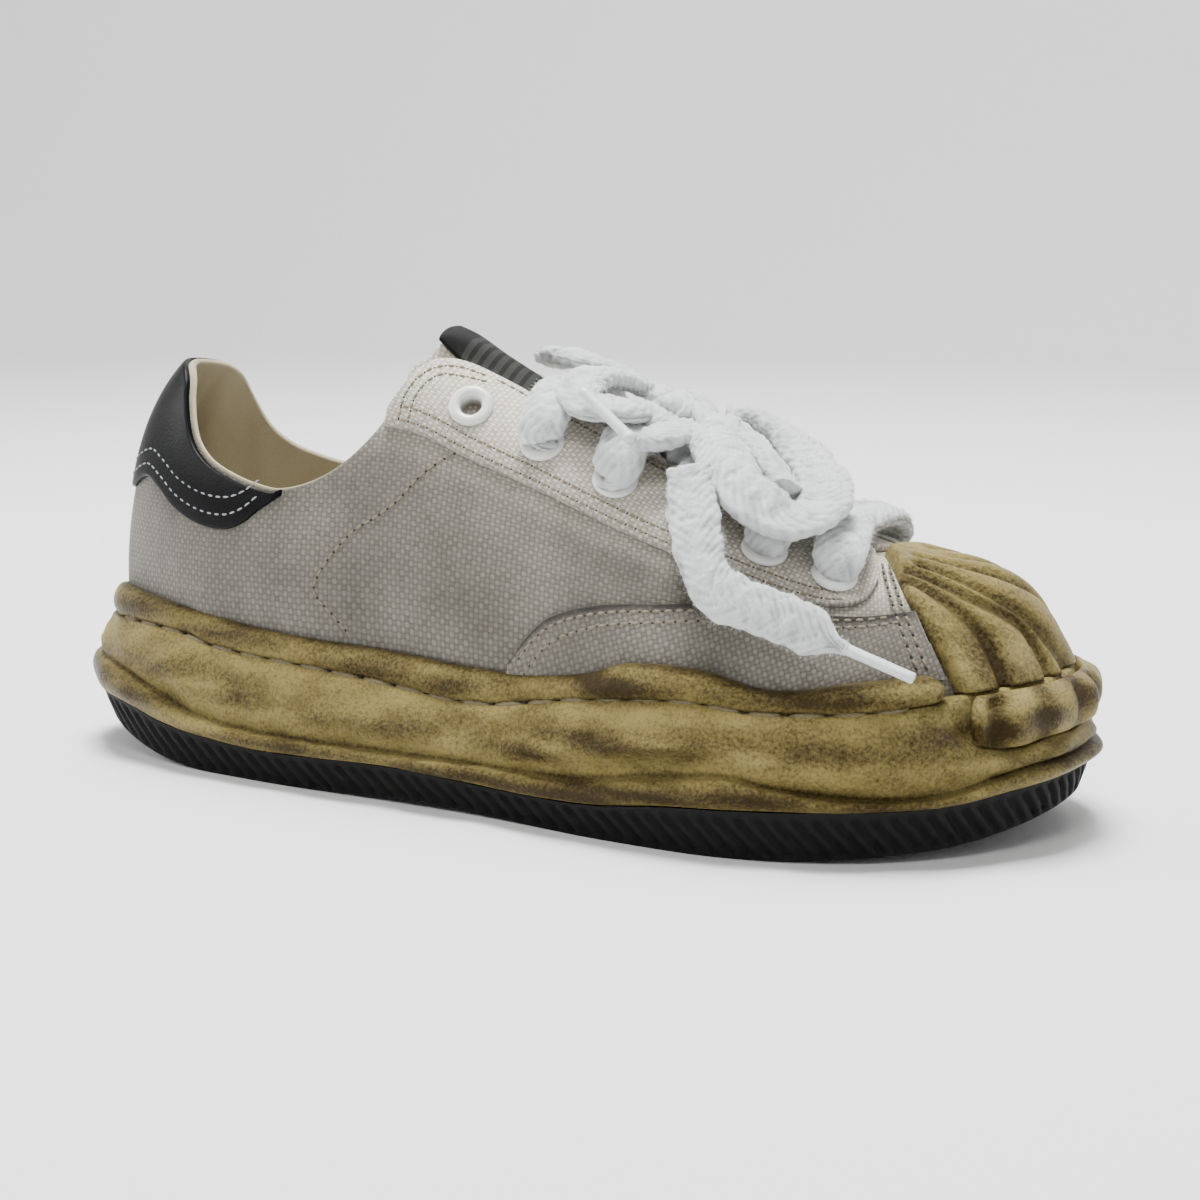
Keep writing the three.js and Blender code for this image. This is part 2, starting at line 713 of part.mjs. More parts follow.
function buildLabel() {
  const steps = 5;
  const across = [-1, -0.5, 0, 0.5, 1];
  const grid = (out) => Array.from({ length: steps + 1 }, (_, i) => across.map((w) => {
    const x = mix(labelRear, labelFront, i / steps);
    return tongueSurface(x, w * labelHalfWidth + labelMiddle, out);
  }));
  return panelBody(grid(labelGap + labelThickness), grid(labelGap));
}

function buildInsole() {
  const ring = (inset, lift) => stations.map((s) => {
    const point = outline(s, inset);
    point.z = bedLine(point.x) + lift;
    return point;
  });
  const edge = featherInset + canvasWall + 1;
  return ringBody([ring(edge, gap), ring(edge, insoleThickness)]);
}

// Eyelets, and the holes that they sit in

function eyeletPlace(station) {
  const centre = skin(station, eyeletRow, 0);
  const normal = surfaceNormal(station, eyeletRow);
  const turn = new THREE.Quaternion().setFromUnitVectors(new THREE.Vector3(0, 1, 0), normal);
  return { centre, turn };
}

function placed(geometry, station) {
  const { centre, turn } = eyeletPlace(station);
  geometry.rotateY(eyeletTurn);
  geometry.applyQuaternion(turn);
  geometry.translate(centre.x, centre.y, centre.z);
  return geometry;
}

function eyeletGeometry(station) {
  const seat = overlayTop + gap;
  const profile = [
    [eyeletHole, -eyeletDepth], [eyeletBarrel, -eyeletDepth], [eyeletBarrel, seat],
    [eyeletFlange, seat], [eyeletFlange, seat + eyeletHeight],
    [eyeletHole, seat + eyeletHeight], [eyeletHole, -eyeletDepth],
  ].map(([r, y]) => new THREE.Vector2(r, y));
  const ring = new THREE.LatheGeometry(profile, eyeletSides);
  ring.deleteAttribute("normal");
  ring.deleteAttribute("uv");
  return placed(mergeVertices(ring, 1e-3), station);
}

const allEyelets = [...eyeletStations, ...mirrored(eyeletStations)];
const holes = allEyelets.map((s) => {
  const pin = new THREE.CylinderGeometry(eyeletBarrel + gap, eyeletBarrel + gap, 16, eyeletSides);
  return toManifold(placed(pin, s));
});

function punched(geometry, list) {
  let solid = toManifold(geometry);
  list.forEach((hole) => {
    solid = solid.subtract(hole);
  });
  return toGeometry(solid);
}

// Lace: straight bars across the throat, a bow knot with two loops, and two ends in aglets

const barStations = eyeletStations.slice(1);
const barClearance = 0.8;

function laceSection(centre, across, up, width = laceWidth, thickness = laceThickness) {
  const corners = [[-0.5, 0], [-0.3, -0.5], [0.3, -0.5], [0.5, 0], [0.3, 0.5], [-0.3, 0.5]];
  return corners.map(([a, b]) => centre.clone()
    .addScaledVector(across, a * width).addScaledVector(up, b * thickness));
}

// A flat lace along points; its flat side faces away from a line inside the shoe
function laceBody(points, steps, { width = laceWidth, thickness = laceThickness, core = 45 } = {}) {
  const curve = new THREE.CatmullRomCurve3(points.map((p) => new THREE.Vector3(...p)), false, "centripetal");
  const sections = Array.from({ length: steps + 1 }, (_, i) => {
    const u = i / steps;
    const centre = curve.getPointAt(u);
    const along = curve.getTangentAt(u);
    const away = new THREE.Vector3(0, centre.y, centre.z - core).normalize();
    const across = new THREE.Vector3().crossVectors(along, away).normalize();
    const up = new THREE.Vector3().crossVectors(across, along).normalize();
    return laceSection(centre, across, up, width, thickness);
  });
  return sweptBody(sections);
}

// A bar follows the slope of the shoe, so its width lies in the surface
function laceBar(c) {
  const toeward = 1.2 * ramp(c, 34, 37.6);
  const rise = eyeletHeight + overlayTop + gap + barClearance + laceThickness / 2 + toeward;
  const half = [[eyeletRow, rise], [0.72, rise], [0.8, rise - 0.5], [0.9, rise - 2]];
  const places = [
    ...half.map(([t, out]) => [c, t, out]),
    [c, 1, rise - 3],
    ...half.map(([t, out]) => [100 - c, t, out]).reverse(),
  ];
  return sweptBody(places.map(([s, t, out]) => {
    const up = surfaceNormal(s, t);
    const across = new THREE.Vector3(1, 0, 0).addScaledVector(up, -up.x).normalize();
    return laceSection(skin(s, t, out), across, up);
  }));
}

const knotCentre = [191, -5, 104.7];
const knotSize = [8.4, 9.2, 4.8];
const frontLoop = [
  [202.2, 1, 106.4], [209, 4, 105], [218, 3, 100.5], [227, -4, 94.5], [234, -14, 89], [235, -25, 84.5],
  [229, -32.5, 84], [220, -33, 88.5], [212, -27.5, 95], [205, -19, 101], [201.9, -10, 105],
];
const rearLoop = [
  [183.6, 3, 109], [178.5, 3, 112], [172, -2, 114.8], [167.8, -11, 115.8], [167.5, -20, 112.9],
  [172.5, -24, 109.6], [178.5, -20.5, 108.4], [184.2, -13, 107],
];
const nearEnd = [
  [203, -31.5, 94.6], [206, -38, 86.5], [209, -43, 79], [212, -46.5, 72.5], [215.5, -48.5, 67.5],
  [220.5, -49, 65], [227.5, -48.5, 63], [235, -48, 60.5], [243, -47.5, 57], [249.5, -47, 54.4],
];
const nearAglet = [[249.9, -47, 54.3], [266.6, -46.5, 48.3]];
const farEnd = [[192.5, -14.5, 103.5], [192.5, -23, 102], [191, -30, 101], [188.4, -34, 101.6]];
const farAglet = [[186.5, -34.5, 103.2], [172.3, -30.6, 114]];
const farStrand = [
  [143.5, 17.5, 118.5], [149, 13.5, 119.6], [157, 9.5, 118.6], [164, 8.6, 116.8], [170.2, 11, 113.4],
];
const agletRadius = 1.6;

function knotBody() {
  const knot = new THREE.SphereGeometry(1, 8, 6);
  knot.deleteAttribute("normal");
  knot.deleteAttribute("uv");
  knot.scale(...knotSize);
  knot.translate(...knotCentre);
  return mergeVertices(knot, 1e-3);
}

function agletBody([from, to]) {
  const path = new THREE.LineCurve3(new THREE.Vector3(...from), new THREE.Vector3(...to));
  const round = new THREE.Shape();
  round.absarc(0, 0, agletRadius, 0, Math.PI * 2);
  return new THREE.ExtrudeGeometry(round, { steps: 1, curveSegments: 8, extrudePath: path });
}

addPiece("outsole", buildOutsole(), soleBlack);
addPiece("midsole", buildMidsole(), rubberColour, 0.6);
addPiece("foxing_band", bandBody(57.6, 142.4, foxingSection), rubberColour, 0.6);
addPiece("toe_bumper", sweptBody(
  [43.2, ...stations.filter((s) => s > 43.5 && s < 56.5), 56.8].map(bumperSection),
), rubberColour, 0.55);
addPiece("toe_cap", toeCap(), rubberColour, 0.6);
addPiece("upper", punched(buildUpper(), holes), canvasColour, 0.95);
addPiece("eyestay_outer", punched(eyestay(-1), holes.slice(0, 6)), canvasColour, 0.95);
addPiece("eyestay_inner", punched(eyestay(1), holes.slice(6)), canvasColour, 0.95);
addPiece("side_patch_outer", sidePatch(-1), canvasColour, 0.95);
addPiece("side_patch_inner", sidePatch(1), canvasColour, 0.95);
addPiece("heel_tab", heelTab(), leatherBlack, 0.4);
addPiece("tongue", buildTongue(), canvasColour, 0.95);
addPiece("tongue_label", buildLabel(), labelGrey, 0.7);
addPiece("insole", buildInsole(), liningColour, 0.9);
allEyelets.forEach((s, i) => {
  const side = i < eyeletStations.length ? "outer" : "inner";
  addPiece(`eyelet_${side}_${(i % eyeletStations.length) + 1}`, eyeletGeometry(s), enamelWhite, 0.3);
});
barStations.forEach((c, i) => addPiece(`lace_bar_${i + 2}`, laceBar(c), laceWhite, 0.95));
addPiece("lace_strand_far", laceBody(farStrand, 5), laceWhite, 0.95);
addPiece("lace_knot", knotBody(), laceWhite, 0.95);
addPiece("lace_loop_front", laceBody(frontLoop, 12), laceWhite, 0.95);
addPiece("lace_loop_rear", laceBody(rearLoop, 10), laceWhite, 0.95);
addPiece("lace_end_near", laceBody(nearEnd, 10, { width: 9 }), laceWhite, 0.95);
addPiece("lace_end_far", laceBody(farEnd, 4, { width: 7, thickness: 4 }), laceWhite, 0.95);
addPiece("aglet_near", agletBody(nearAglet), enamelWhite, 0.3);
addPiece("aglet_far", agletBody(farAglet), enamelWhite, 0.3);

// The origin is on the floor under the middle of the shoe
const middle = new THREE.Box3().setFromObject(shoe).getCenter(new THREE.Vector3());
shoe.position.set(-middle.x, -middle.y, 0);

export default shoe;
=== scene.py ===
# %% [markdown]
# # A worn canvas sneaker
# The right shoe, seen from its outer side. The hard model is already made, so this lesson
# dresses it: each piece is built again with a finer surface from the same lines,
# and gets the material that the real piece has.

# %% Load the shoe's frame
import json
import math

import bpy
import numpy as np
from mathutils import Matrix, Vector


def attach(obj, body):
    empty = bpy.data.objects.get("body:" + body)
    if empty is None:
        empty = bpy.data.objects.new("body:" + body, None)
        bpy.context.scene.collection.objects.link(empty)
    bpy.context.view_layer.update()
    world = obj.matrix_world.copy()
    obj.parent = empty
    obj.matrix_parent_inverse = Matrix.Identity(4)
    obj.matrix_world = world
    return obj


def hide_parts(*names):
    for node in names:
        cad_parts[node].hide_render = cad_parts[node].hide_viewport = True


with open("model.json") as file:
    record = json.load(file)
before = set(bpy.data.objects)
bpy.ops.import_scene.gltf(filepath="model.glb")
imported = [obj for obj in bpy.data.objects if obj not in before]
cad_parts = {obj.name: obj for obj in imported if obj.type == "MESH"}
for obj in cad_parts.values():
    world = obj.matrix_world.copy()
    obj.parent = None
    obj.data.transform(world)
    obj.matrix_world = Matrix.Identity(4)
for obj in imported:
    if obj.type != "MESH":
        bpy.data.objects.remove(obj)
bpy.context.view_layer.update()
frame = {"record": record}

# %% [markdown]
# ## Where things are
# The shoe's lines were drawn with X from the heel, in millimetres, and the model is moved so
# that its origin is under its middle. The centre of the heel's flat pad is known in both, so
# it gives the shift between them.

# %% Shift from the drawing to the model
HEEL_PAD = (73.0, 0.0)
heel_rest = next(m for m in frame["record"]["mounts"] if m["name"] == "heel_rest")
SHIFT = np.array([heel_rest["pos_m"][0] * 1000 - HEEL_PAD[0],
                  heel_rest["pos_m"][1] * 1000 - HEEL_PAD[1], 0.0])
print("shift in mm", SHIFT)


def to_model(points):
    return (np.asarray(points, float) + SHIFT) * 0.001


# %% [markdown]
# ## Camera
# The photographer stood a little in front of the shoe's side and a little above it. The
# camera looks at a point in the shoe's middle from 587 mm away, as the size of the near and
# the far eyelets shows, and the picture is turned by a third of a degree.

# %% Camera
LOOK_AT = to_model([165.4, 0.0, 52.7])
DISTANCE = 0.5868
AZIMUTH, ELEVATION, ROLL = (math.radians(a) for a in (22.0, 10.3, 0.3))
FOCAL_PIXELS, PICTURE_PIXELS, SENSOR_WIDTH = 2090.2, 1200, 36
back = Vector((math.sin(AZIMUTH) * math.cos(ELEVATION),
               -math.cos(AZIMUTH) * math.cos(ELEVATION), math.sin(ELEVATION)))
right = Vector((math.cos(AZIMUTH), math.sin(AZIMUTH), 0))
up = back.cross(right)
right, up = (right * math.cos(ROLL) + up * math.sin(ROLL),
             up * math.cos(ROLL) - right * math.sin(ROLL))
camera = bpy.data.objects.new("camera", bpy.data.cameras.new("camera"))
camera.data.sensor_width = SENSOR_WIDTH
camera.data.lens = FOCAL_PIXELS / PICTURE_PIXELS * SENSOR_WIDTH
camera.data.clip_start = 0.01
camera.matrix_world = Matrix((right, up, back)).transposed().to_4x4()
camera.location = Vector(LOOK_AT) + back * DISTANCE
bpy.context.scene.collection.objects.link(camera)
bpy.context.scene.camera = camera
print("lens", round(camera.data.lens, 2), "mm")

# %% [markdown]
# ## Lines of the shoe
# A shoemaker starts from a last, the form that the upper is pulled over. Ours is a surface
# with two directions: a station goes round the foot, 0 at the heel, 50 at the toe, 100 at the
# heel again, and t goes up along a rib, 0 at the sole and 1 at the top line. All the panels,
# edges and seams are drawn on it.

# %% Driving lines
SOLE_OUTLINE = [
    (0, 0), (9, -21), (34, -35), (72, -43), (112, -47.5), (152, -52), (190, -59), (224, -61),
    (257, -53), (284, -35), (301, -12), (304, 14), (291, 38), (264, 54), (229, 58), (190, 50),
    (151, 42), (111, 40), (71, 43), (33, 38), (9, 22)]
FEATHER_INSET, FEATHER_HEIGHT = 12.8, 28.0
TOP_X = [(0, 75), (10, 82), (17, 104), (22.5, 141), (31, 197), (38, 236), (44, 253), (50, 261)]
TOP_Y = [(75, 0), (140, -2), (200, -1), (261, 4)]
TOP_Z = [(75, 130), (100, 131), (122, 126), (140, 117), (160, 107.5), (180, 98), (200, 89),
         (220, 80), (240, 71.5), (261, 66.5)]
RIB_FULLNESS = [(0, 2.6), (15, 2.5), (25, 2.4), (35, 2.2), (42, 2.4), (50, 2.6)]
RIB_BULGE = [(0, 0.5), (8, 3), (15, 4.5), (25, 3), (35, 1), (42, 0.5), (50, 0)]
RIB_BOTTOM = [
    (0, 17.6), (2.7, 17.3), (5.7, 16.6), (8.3, 13.1), (11.5, 10.7), (14, 9.9), (20, 10.8),
    (25, 9.2), (28.5, 9.6), (32, 12.4), (37, 13.9), (41.5, 14.9), (45, 17.5), (48, 19.6),
    (51, 20), (55, 17.2), (59, 14.6), (64, 13.4), (68, 11.6), (72, 9.6), (77, 10.6), (82, 10),
    (87, 10.2), (91, 13), (94.5, 16.6), (97.5, 17.3)]
CREASE = [
    (0, 29), (3, 29), (6.3, 25.8), (8.2, 22.2), (10.4, 17.5), (14, 15.3), (20.3, 15.4),
    (27.5, 16), (31.2, 20), (34, 22), (36, 19.7), (39.8, 17.6), (42.4, 18.6), (45.4, 23),
    (50, 24.5), (54, 23), (58, 18.8), (62, 18), (66, 21.5), (70, 19), (74, 16), (80, 15.5),
    (86, 15.6), (89.5, 17.8), (92, 22), (94, 26), (97, 29)]
GROOVE = [
    (0, 39), (4, 40), (8.8, 39.5), (10.7, 37), (15, 35), (18.7, 33), (22.5, 30.6), (24.3, 30.9),
    (27.6, 35.3), (31.2, 38.3), (33, 38.5), (35.1, 37), (40, 38.5), (43.2, 41), (50, 42.5),
    (57, 41), (61, 38), (65, 39), (69, 36), (73, 33.5), (76.5, 31.5), (81, 33.5), (85, 35.5),
    (89, 37), (93, 39.5), (97, 39.5)]
FOXING_TOP = [
    (0, 47.5), (4, 49.5), (7.5, 47.6), (11, 44.8), (15.5, 42.3), (20, 41), (24, 39.2), (26, 40),
    (28, 42.3), (29.7, 46.2), (32.6, 46.5), (35.6, 42.6), (39, 45), (42, 46.3), (43.5, 45),
    (50, 45), (57, 45), (60, 46), (64, 43.5), (68, 46.5), (72, 42.5), (77, 39.6), (82, 42),
    (87, 44), (92, 47.5), (96, 49.5)]
BUMPER_BOTTOM = [
    (42.6, 33), (43.6, 30), (45, 28.3), (46.5, 29.6), (48.5, 30.1), (50.5, 31.4), (53, 30),
    (55, 28.6), (56.6, 30.5), (57.4, 33)]
THROAT_END = 38.8
EDGE = [
    (0, 0.624), (2, 0.618), (4, 0.6), (5.5, 0.56), (6.5, 0.505), (7.5, 0.445), (8.5, 0.392),
    (9.7, 0.352), (11, 0.327), (12.5, 0.308), (14, 0.302), (15.8, 0.333), (17.2, 0.393),
    (18.3, 0.48), (18.8, 0.56), (19.4, 0.66), (20.2, 0.75), (21.3, 0.81), (22.5, 0.832),
    (25, 0.83), (35.5, 0.83), (37, 0.87), (38.1, 0.94), (THROAT_END, 1)]
HEEL_TAB_LOWER = [
    (0, 0.25), (3, 0.264), (5.2, 0.295), (6.6, 0.277), (8.3, 0.24), (10, 0.217), (11.4, 0.214),
    (12.3, 0.229), (13.1, 0.258), (14.1, 0.29)]
EYESTAY_LOWER = [(18.5, 0.475), (20, 0.484), (36, 0.49), (38, 0.51), (39.3, 0.58), (39.9, 0.7)]
PATCH_UPPER = [
    (24.4, 0.07), (25.1, 0.126), (26.1, 0.189), (28.1, 0.258), (30.4, 0.314), (32.4, 0.365),
    (35.1, 0.421), (38.9, 0.478), (41.4, 0.53)]
QUARTER_SEAM = [
    (21.6, 0.484), (20.35, 0.39), (19.35, 0.314), (18.35, 0.27), (17.34, 0.233),
    (16.1, 0.16), (15.84, 0.126), (16.59, 0.094), (17.59, 0.057)]
CAP_REAR = [(0, 43.1), (0.2, 42.4), (0.4, 41.7), (0.6, 41.2), (0.87, 40.9), (1, 40.9)]
print(len(SOLE_OUTLINE), "outline points")

# %% [markdown]
# ## From lines to surfaces
# Between given points a curve goes smoothly, and its slope at each point is that of the
# line between its neighbours. These few functions are the whole last. They take arrays, so a
# panel of thousands of points is one call.


# %% The last's functions
def smooth(points, x):
    p = np.array(points, float)
    slope = np.empty(len(p))
    slope[1:-1] = (p[2:, 1] - p[:-2, 1]) / (p[2:, 0] - p[:-2, 0])
    slope[0] = (p[1, 1] - p[0, 1]) / (p[1, 0] - p[0, 0])
    slope[-1] = (p[-1, 1] - p[-2, 1]) / (p[-1, 0] - p[-2, 0])
    x = np.clip(np.asarray(x, float), p[0, 0], p[-1, 0])
    i = np.clip(np.searchsorted(p[:, 0], x) - 1, 0, len(p) - 2)
    width = p[i + 1, 0] - p[i, 0]
    f = (x - p[i, 0]) / width
    return ((2 * f**3 - 3 * f**2 + 1) * p[i, 1] + (f**3 - 2 * f**2 + f) * width * slope[i]
            + (3 * f**2 - 2 * f**3) * p[i + 1, 1] + (f**3 - f**2) * width * slope[i + 1])


def around(points, station):
    before = [(s - 100, v) for s, v in points[-3:]]
    after = [(s + 100, v) for s, v in points[:3]]
    return smooth([*before, *points, *after], np.asarray(station, float) % 100)


def ramp(x, start, end):
    f = np.clip((np.asarray(x, float) - start) / (end - start), 0, 1)
    return f * f * (3 - 2 * f)


def mix(a, b, f):
    return a + (b - a) * f


def from_heel(station):
    s = np.asarray(station, float) % 100
    return np.minimum(s, 100 - s)


def at_heel(station):
    return 1 - ramp(from_heel(station), 4, 12)


def on_side(station, side):
    return station if side < 0 else 100 - station


def bell(distance, width):
    return np.exp(-(distance / width) ** 2)


def unit(vectors):
    return vectors / np.linalg.norm(vectors, axis=-1, keepdims=True)


def circle(count):
    return np.linspace(0, 2 * np.pi, count, endpoint=False)


# A smooth curve through a few keys: each key is a point or a whole row of points
def spline(keys, steps, closed=False):
    p = np.asarray(keys, float)
    if closed:
        a, b, c, d = (np.roll(p, -k, 0)[:, None] for k in (-1, 0, 1, 2))
    else:
        p = np.concatenate([2 * p[:1] - p[1:2], p, 2 * p[-1:] - p[-2:-1]])
        a, b, c, d = (q[:, None] for q in (p[:-3], p[1:-2], p[2:-1], p[3:]))
    f = (np.arange(steps) / steps).reshape(-1, *[1] * (p.ndim - 1))
    curve = b + 0.5 * f * (c - a + f * (2 * a - 5 * b + 4 * c - d + f * (3 * (b - c) + d - a)))
    curve = curve.reshape(-1, *p.shape[1:])
    return curve if closed else np.concatenate([curve, p[-2:-1]])


def along(curve):
    return np.concatenate([[0], np.cumsum(np.linalg.norm(np.diff(curve, axis=0), axis=1))])


def sample(at, distance, curve):
    return np.stack([np.interp(at, distance, values) for values in curve.T], -1)


sole_curve = spline(SOLE_OUTLINE, 40, closed=True)
sole_curve = np.vstack([sole_curve, sole_curve[:1]])
sole_length = along(sole_curve)


def outline(station, inset=0.0):
    whole = sole_length[-1]
    at = np.asarray(station, float) % 100 / 100 * whole
    here, before, after = (sample(a, sole_length, sole_curve)
                           for a in (at, (at - 2) % whole, (at + 2) % whole))
    ahead = unit(after - before)
    inwards = np.stack([-ahead[..., 1], ahead[..., 0]], -1)
    return here + inwards * np.asarray(inset, float)[..., None]


def outwards(station):
    return outline(station, 0.0) - outline(station, 1.0)


def side_points(station, inset, height):
    flat = outline(station, inset)
    return np.concatenate([flat, np.broadcast_to(height, flat.shape[:-1])[..., None]], -1)


def last_point(station, t):
    station, t = np.broadcast_arrays(np.asarray(station, float), np.asarray(t, float))
    c = from_heel(station)
    foot = outline(station, FEATHER_INSET)
    top_x = smooth(TOP_X, c)
    top_y, top_z = smooth(TOP_Y, top_x), smooth(TOP_Z, top_x)
    power = 2 / smooth(RIB_FULLNESS, c)
    across = np.clip(np.cos(t * np.pi / 2), 0, 1) ** power
    rise = np.clip(np.sin(t * np.pi / 2), 0, 1) ** power
    reach = np.hypot(foot[..., 0] - top_x, foot[..., 1] - top_y)
    k = across + smooth(RIB_BULGE, c) * np.sin(np.pi * rise) * (1 - rise) * 1.6 / reach
    return np.stack([top_x + (foot[..., 0] - top_x) * k, top_y + (foot[..., 1] - top_y) * k,
                     mix(FEATHER_HEIGHT, top_z, rise)], -1)


def surface_normal(station, t):
    t = np.clip(t, 0.012, 0.985)
    ahead = last_point(station + 0.05, t) - last_point(station - 0.05, t)
    higher = last_point(station, t + 0.01) - last_point(station, t - 0.01)
    return unit(np.cross(ahead, higher))


def skin(station, t, out=0.0):
    station, t, out = np.broadcast_arrays(*(np.asarray(v, float) for v in (station, t, out)))
    share = (ramp(t, 0.94, 1) / 2)[..., None]
    normal = mix(surface_normal(station, t), surface_normal(100 - station, t), share)
    return last_point(station, t) + unit(normal) * out[..., None]


def rib_at(station, height):
    c = from_heel(station)
    top_z = smooth(TOP_Z, smooth(TOP_X, c))
    rise = np.clip((height - FEATHER_HEIGHT) / (top_z - FEATHER_HEIGHT), 0, 1)
    return np.arcsin(rise ** (smooth(RIB_FULLNESS, c) / 2)) * 2 / np.pi


def edge_height(station):
    c = from_heel(station)
    return np.where(c > THROAT_END - 0.01, 1.0, np.minimum(smooth(EDGE, c), 1))


def bed(x):
    return 29.5 + 4 * (1 - ramp(x, 50, 120)) + 5 * ramp(x, 225, 300)


print("round the sole", round(float(sole_length[-1])), "mm")

# %% [markdown]
# ## Making meshes
# Each piece is a grid of points bent into its shape, or several grids. Arrays go straight
# into the mesh, which is much faster than adding vertices one by one. The piece keeps real
# lengths as its UV map, so a weave has its real pitch on every panel, and a soil_and_shade
# value for each point says how dirty or rubbed the surface is there, and on the canvas, the
# foxing and the lace also how much painted shade it gets.


# %% Mesh helpers
def grid_faces(rows, columns, closed=False, start=0):
    r, c = np.meshgrid(np.arange(rows - 1), np.arange(columns - (not closed)), indexing="ij")
    a, b = r * columns + c, r * columns + (c + 1) % columns
    return np.stack([a, b, b + columns, a + columns], -1).reshape(-1, 4) + start


def make_piece(name, points, faces, materials, nodes=(), uv=None, soil_and_shade=None, kinds=None,
               body="root"):
    points = np.asarray(points, float).reshape(-1, 3)
    faces = np.asarray(faces)
    a, b, c, d = (points[faces[:, k]] for k in range(4))
    size = (np.cross(b - a, c - a) * a).sum() + (np.cross(c - a, d - a) * a).sum()
    if size < 0:
        faces = faces[:, ::-1]
    mesh = bpy.data.meshes.new(name)
    mesh.vertices.add(len(points))
    mesh.vertices.foreach_set("co", to_model(points).astype(np.float32).ravel())
    mesh.loops.add(faces.size)
    mesh.loops.foreach_set("vertex_index", faces.astype(np.int32).ravel())
    mesh.polygons.add(len(faces))
    mesh.polygons.foreach_set("loop_start", np.arange(0, faces.size, 4, dtype=np.int32))
    mesh.update(calc_edges=True)
    mesh.polygons.foreach_set("use_smooth", np.ones(len(faces), bool))
    if uv is not None:
        layer = mesh.uv_layers.new(name="cloth")
        flat = np.asarray(uv, float).reshape(-1, 2)[faces.ravel()] * 0.001
        layer.data.foreach_set("uv", flat.astype(np.float32).ravel())
    if soil_and_shade is not None:
        layer = mesh.attributes.new("soil_and_shade", "FLOAT", "POINT")
        layer.data.foreach_set("value", np.asarray(soil_and_shade, np.float32).ravel())
    for material in materials:
        mesh.materials.append(material)
    if kinds is not None:
        mesh.polygons.foreach_set("material_index", np.asarray(kinds, np.int32))
    mesh.validate()
    piece = bpy.data.objects.new(name, mesh)
    bpy.context.scene.collection.objects.link(piece)
    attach(piece, body)
    if nodes:
        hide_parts(*nodes)
    return piece


# Two grids of one size, one over the other, closed all round their edge
def two_sided(name, over, under, materials, nodes, uv=None, soil_and_shade=None, keep=None):
    rows, columns = over.shape[:2]
    count = rows * columns
    rim = np.concatenate([np.arange(columns), np.arange(2 * columns - 1, count, columns),
                          np.arange(count - 2, count - columns - 1, -1),
                          np.arange(count - 2 * columns, 0, -columns)])
    rim_next = np.roll(rim, -1)
    edge = np.stack([rim + count, rim_next + count, rim_next, rim], -1)
    top = grid_faces(rows, columns)
    points = np.concatenate([over.reshape(-1, 3), under.reshape(-1, 3)])
    faces = np.concatenate([top, edge, top[:, ::-1] + count])
    if keep is not None:
        faces = faces[keep(points[faces].mean(1))]
    if uv is not None:
        uv = np.tile(uv.reshape(-1, 2), (2, 1))
    if soil_and_shade is not None:
        soil_and_shade = np.tile(np.broadcast_to(soil_and_shade, (rows, columns)).ravel(), 2)
    return make_piece(name, points, faces, materials, nodes, uv, soil_and_shade)


# A weave follows the cloth: lengths round the foot and up the rib, in millimetres
def cloth_uv(station, t):
    c = from_heel(station)
    rib_length = smooth([(0, 125), (15, 118), (25, 96), (38, 62), (50, 52)], c)
    return np.stack([station / 100 * sole_length[-1] * 0.93, t * rib_length], -1)


# A strip of cloth or leather on the last; turn is the angle of its grain
def panel(name, station, t, top, seat, materials, nodes, soil_and_shade=0.0, keep=None, turn=0.0):
    station, t, top, seat = np.broadcast_arrays(station, t, top, seat)
    turned = np.array([[math.cos(turn), math.sin(turn)], [-math.sin(turn), math.cos(turn)]])
    return two_sided(name, skin(station, t, top), skin(station, t, seat), materials, nodes,
                     cloth_uv(station, t) @ turned, soil_and_shade, keep)


# Spacing that is dense at both ends, so that a panel's edge can be rounded
def eased(count, edge=0.03):
    near = edge * np.array([0, 0.15, 0.45])
    return np.concatenate([near, np.linspace(edge, 1 - edge, count), 1 - near[::-1]])


def edge_lift(count):
    lift = np.ones(count + 6)
    lift[:3] = lift[-1:-4:-1] = (0.25, 0.75, 0.95)
    return lift


print("helpers ready")

# %% [markdown]
# ## Colours and nodes
# Colours are read off as screen values, and a renderer needs light values, so one function
# turns them. One more adds a node, sets its values and links its inputs. The short functions
# after it call it for the nodes that are used most, and dress() gives a material its colour,
# its relief and its constants.


# %% Colour and node helpers
def colour(hex_value, alpha=1.0):
    channels = [int(hex_value[i:i + 2], 16) / 255 for i in (1, 3, 5)]
    linear = [c / 12.92 if c <= 0.04045 else ((c + 0.055) / 1.055) ** 2.4 for c in channels]
    return (*linear, alpha)


def add(tree, kind, inputs=None, **settings):
    node = tree.nodes.new("ShaderNode" + kind)
    for key, value in settings.items():
        setattr(node, key, value)
    for key, value in (inputs or {}).items():
        if isinstance(value, bpy.types.NodeSocket):
            tree.links.new(value, node.inputs[key])
        else:
            node.inputs[key].default_value = value
    return node


def new_material(name):
    material = bpy.data.materials.new(name)
    material.use_nodes = True
    return material, material.node_tree, material.node_tree.nodes["Principled BSDF"]


def maths(tree, operation, *values, **settings):
    return add(tree, "Math", dict(enumerate(values)), operation=operation, **settings).outputs[0]


def vector(tree, operation, *values):
    return add(tree, "VectorMath", dict(enumerate(values)), operation=operation).outputs[0]


def noise(tree, place, scale, detail, output=0, **more):
    values = {"Vector": place, "Scale": scale, "Detail": detail, **more}
    return add(tree, "TexNoise", values).outputs[output]


def ranged(tree, value, low, high, to_low=0.0, to_high=1.0):
    return add(tree, "MapRange", {0: value, 1: low, 2: high, 3: to_low, 4: to_high}).outputs[0]


def blend(tree, share, first, second):
    return add(tree, "Mix", {0: share, 6: first, 7: second}, data_type="RGBA").outputs[2]


def cloth_place(tree):
    return add(tree, "UVMap", uv_map="cloth").outputs[0]


def soil_and_shade_of(tree):
    return add(tree, "Attribute", attribute_name="soil_and_shade").outputs["Fac"]


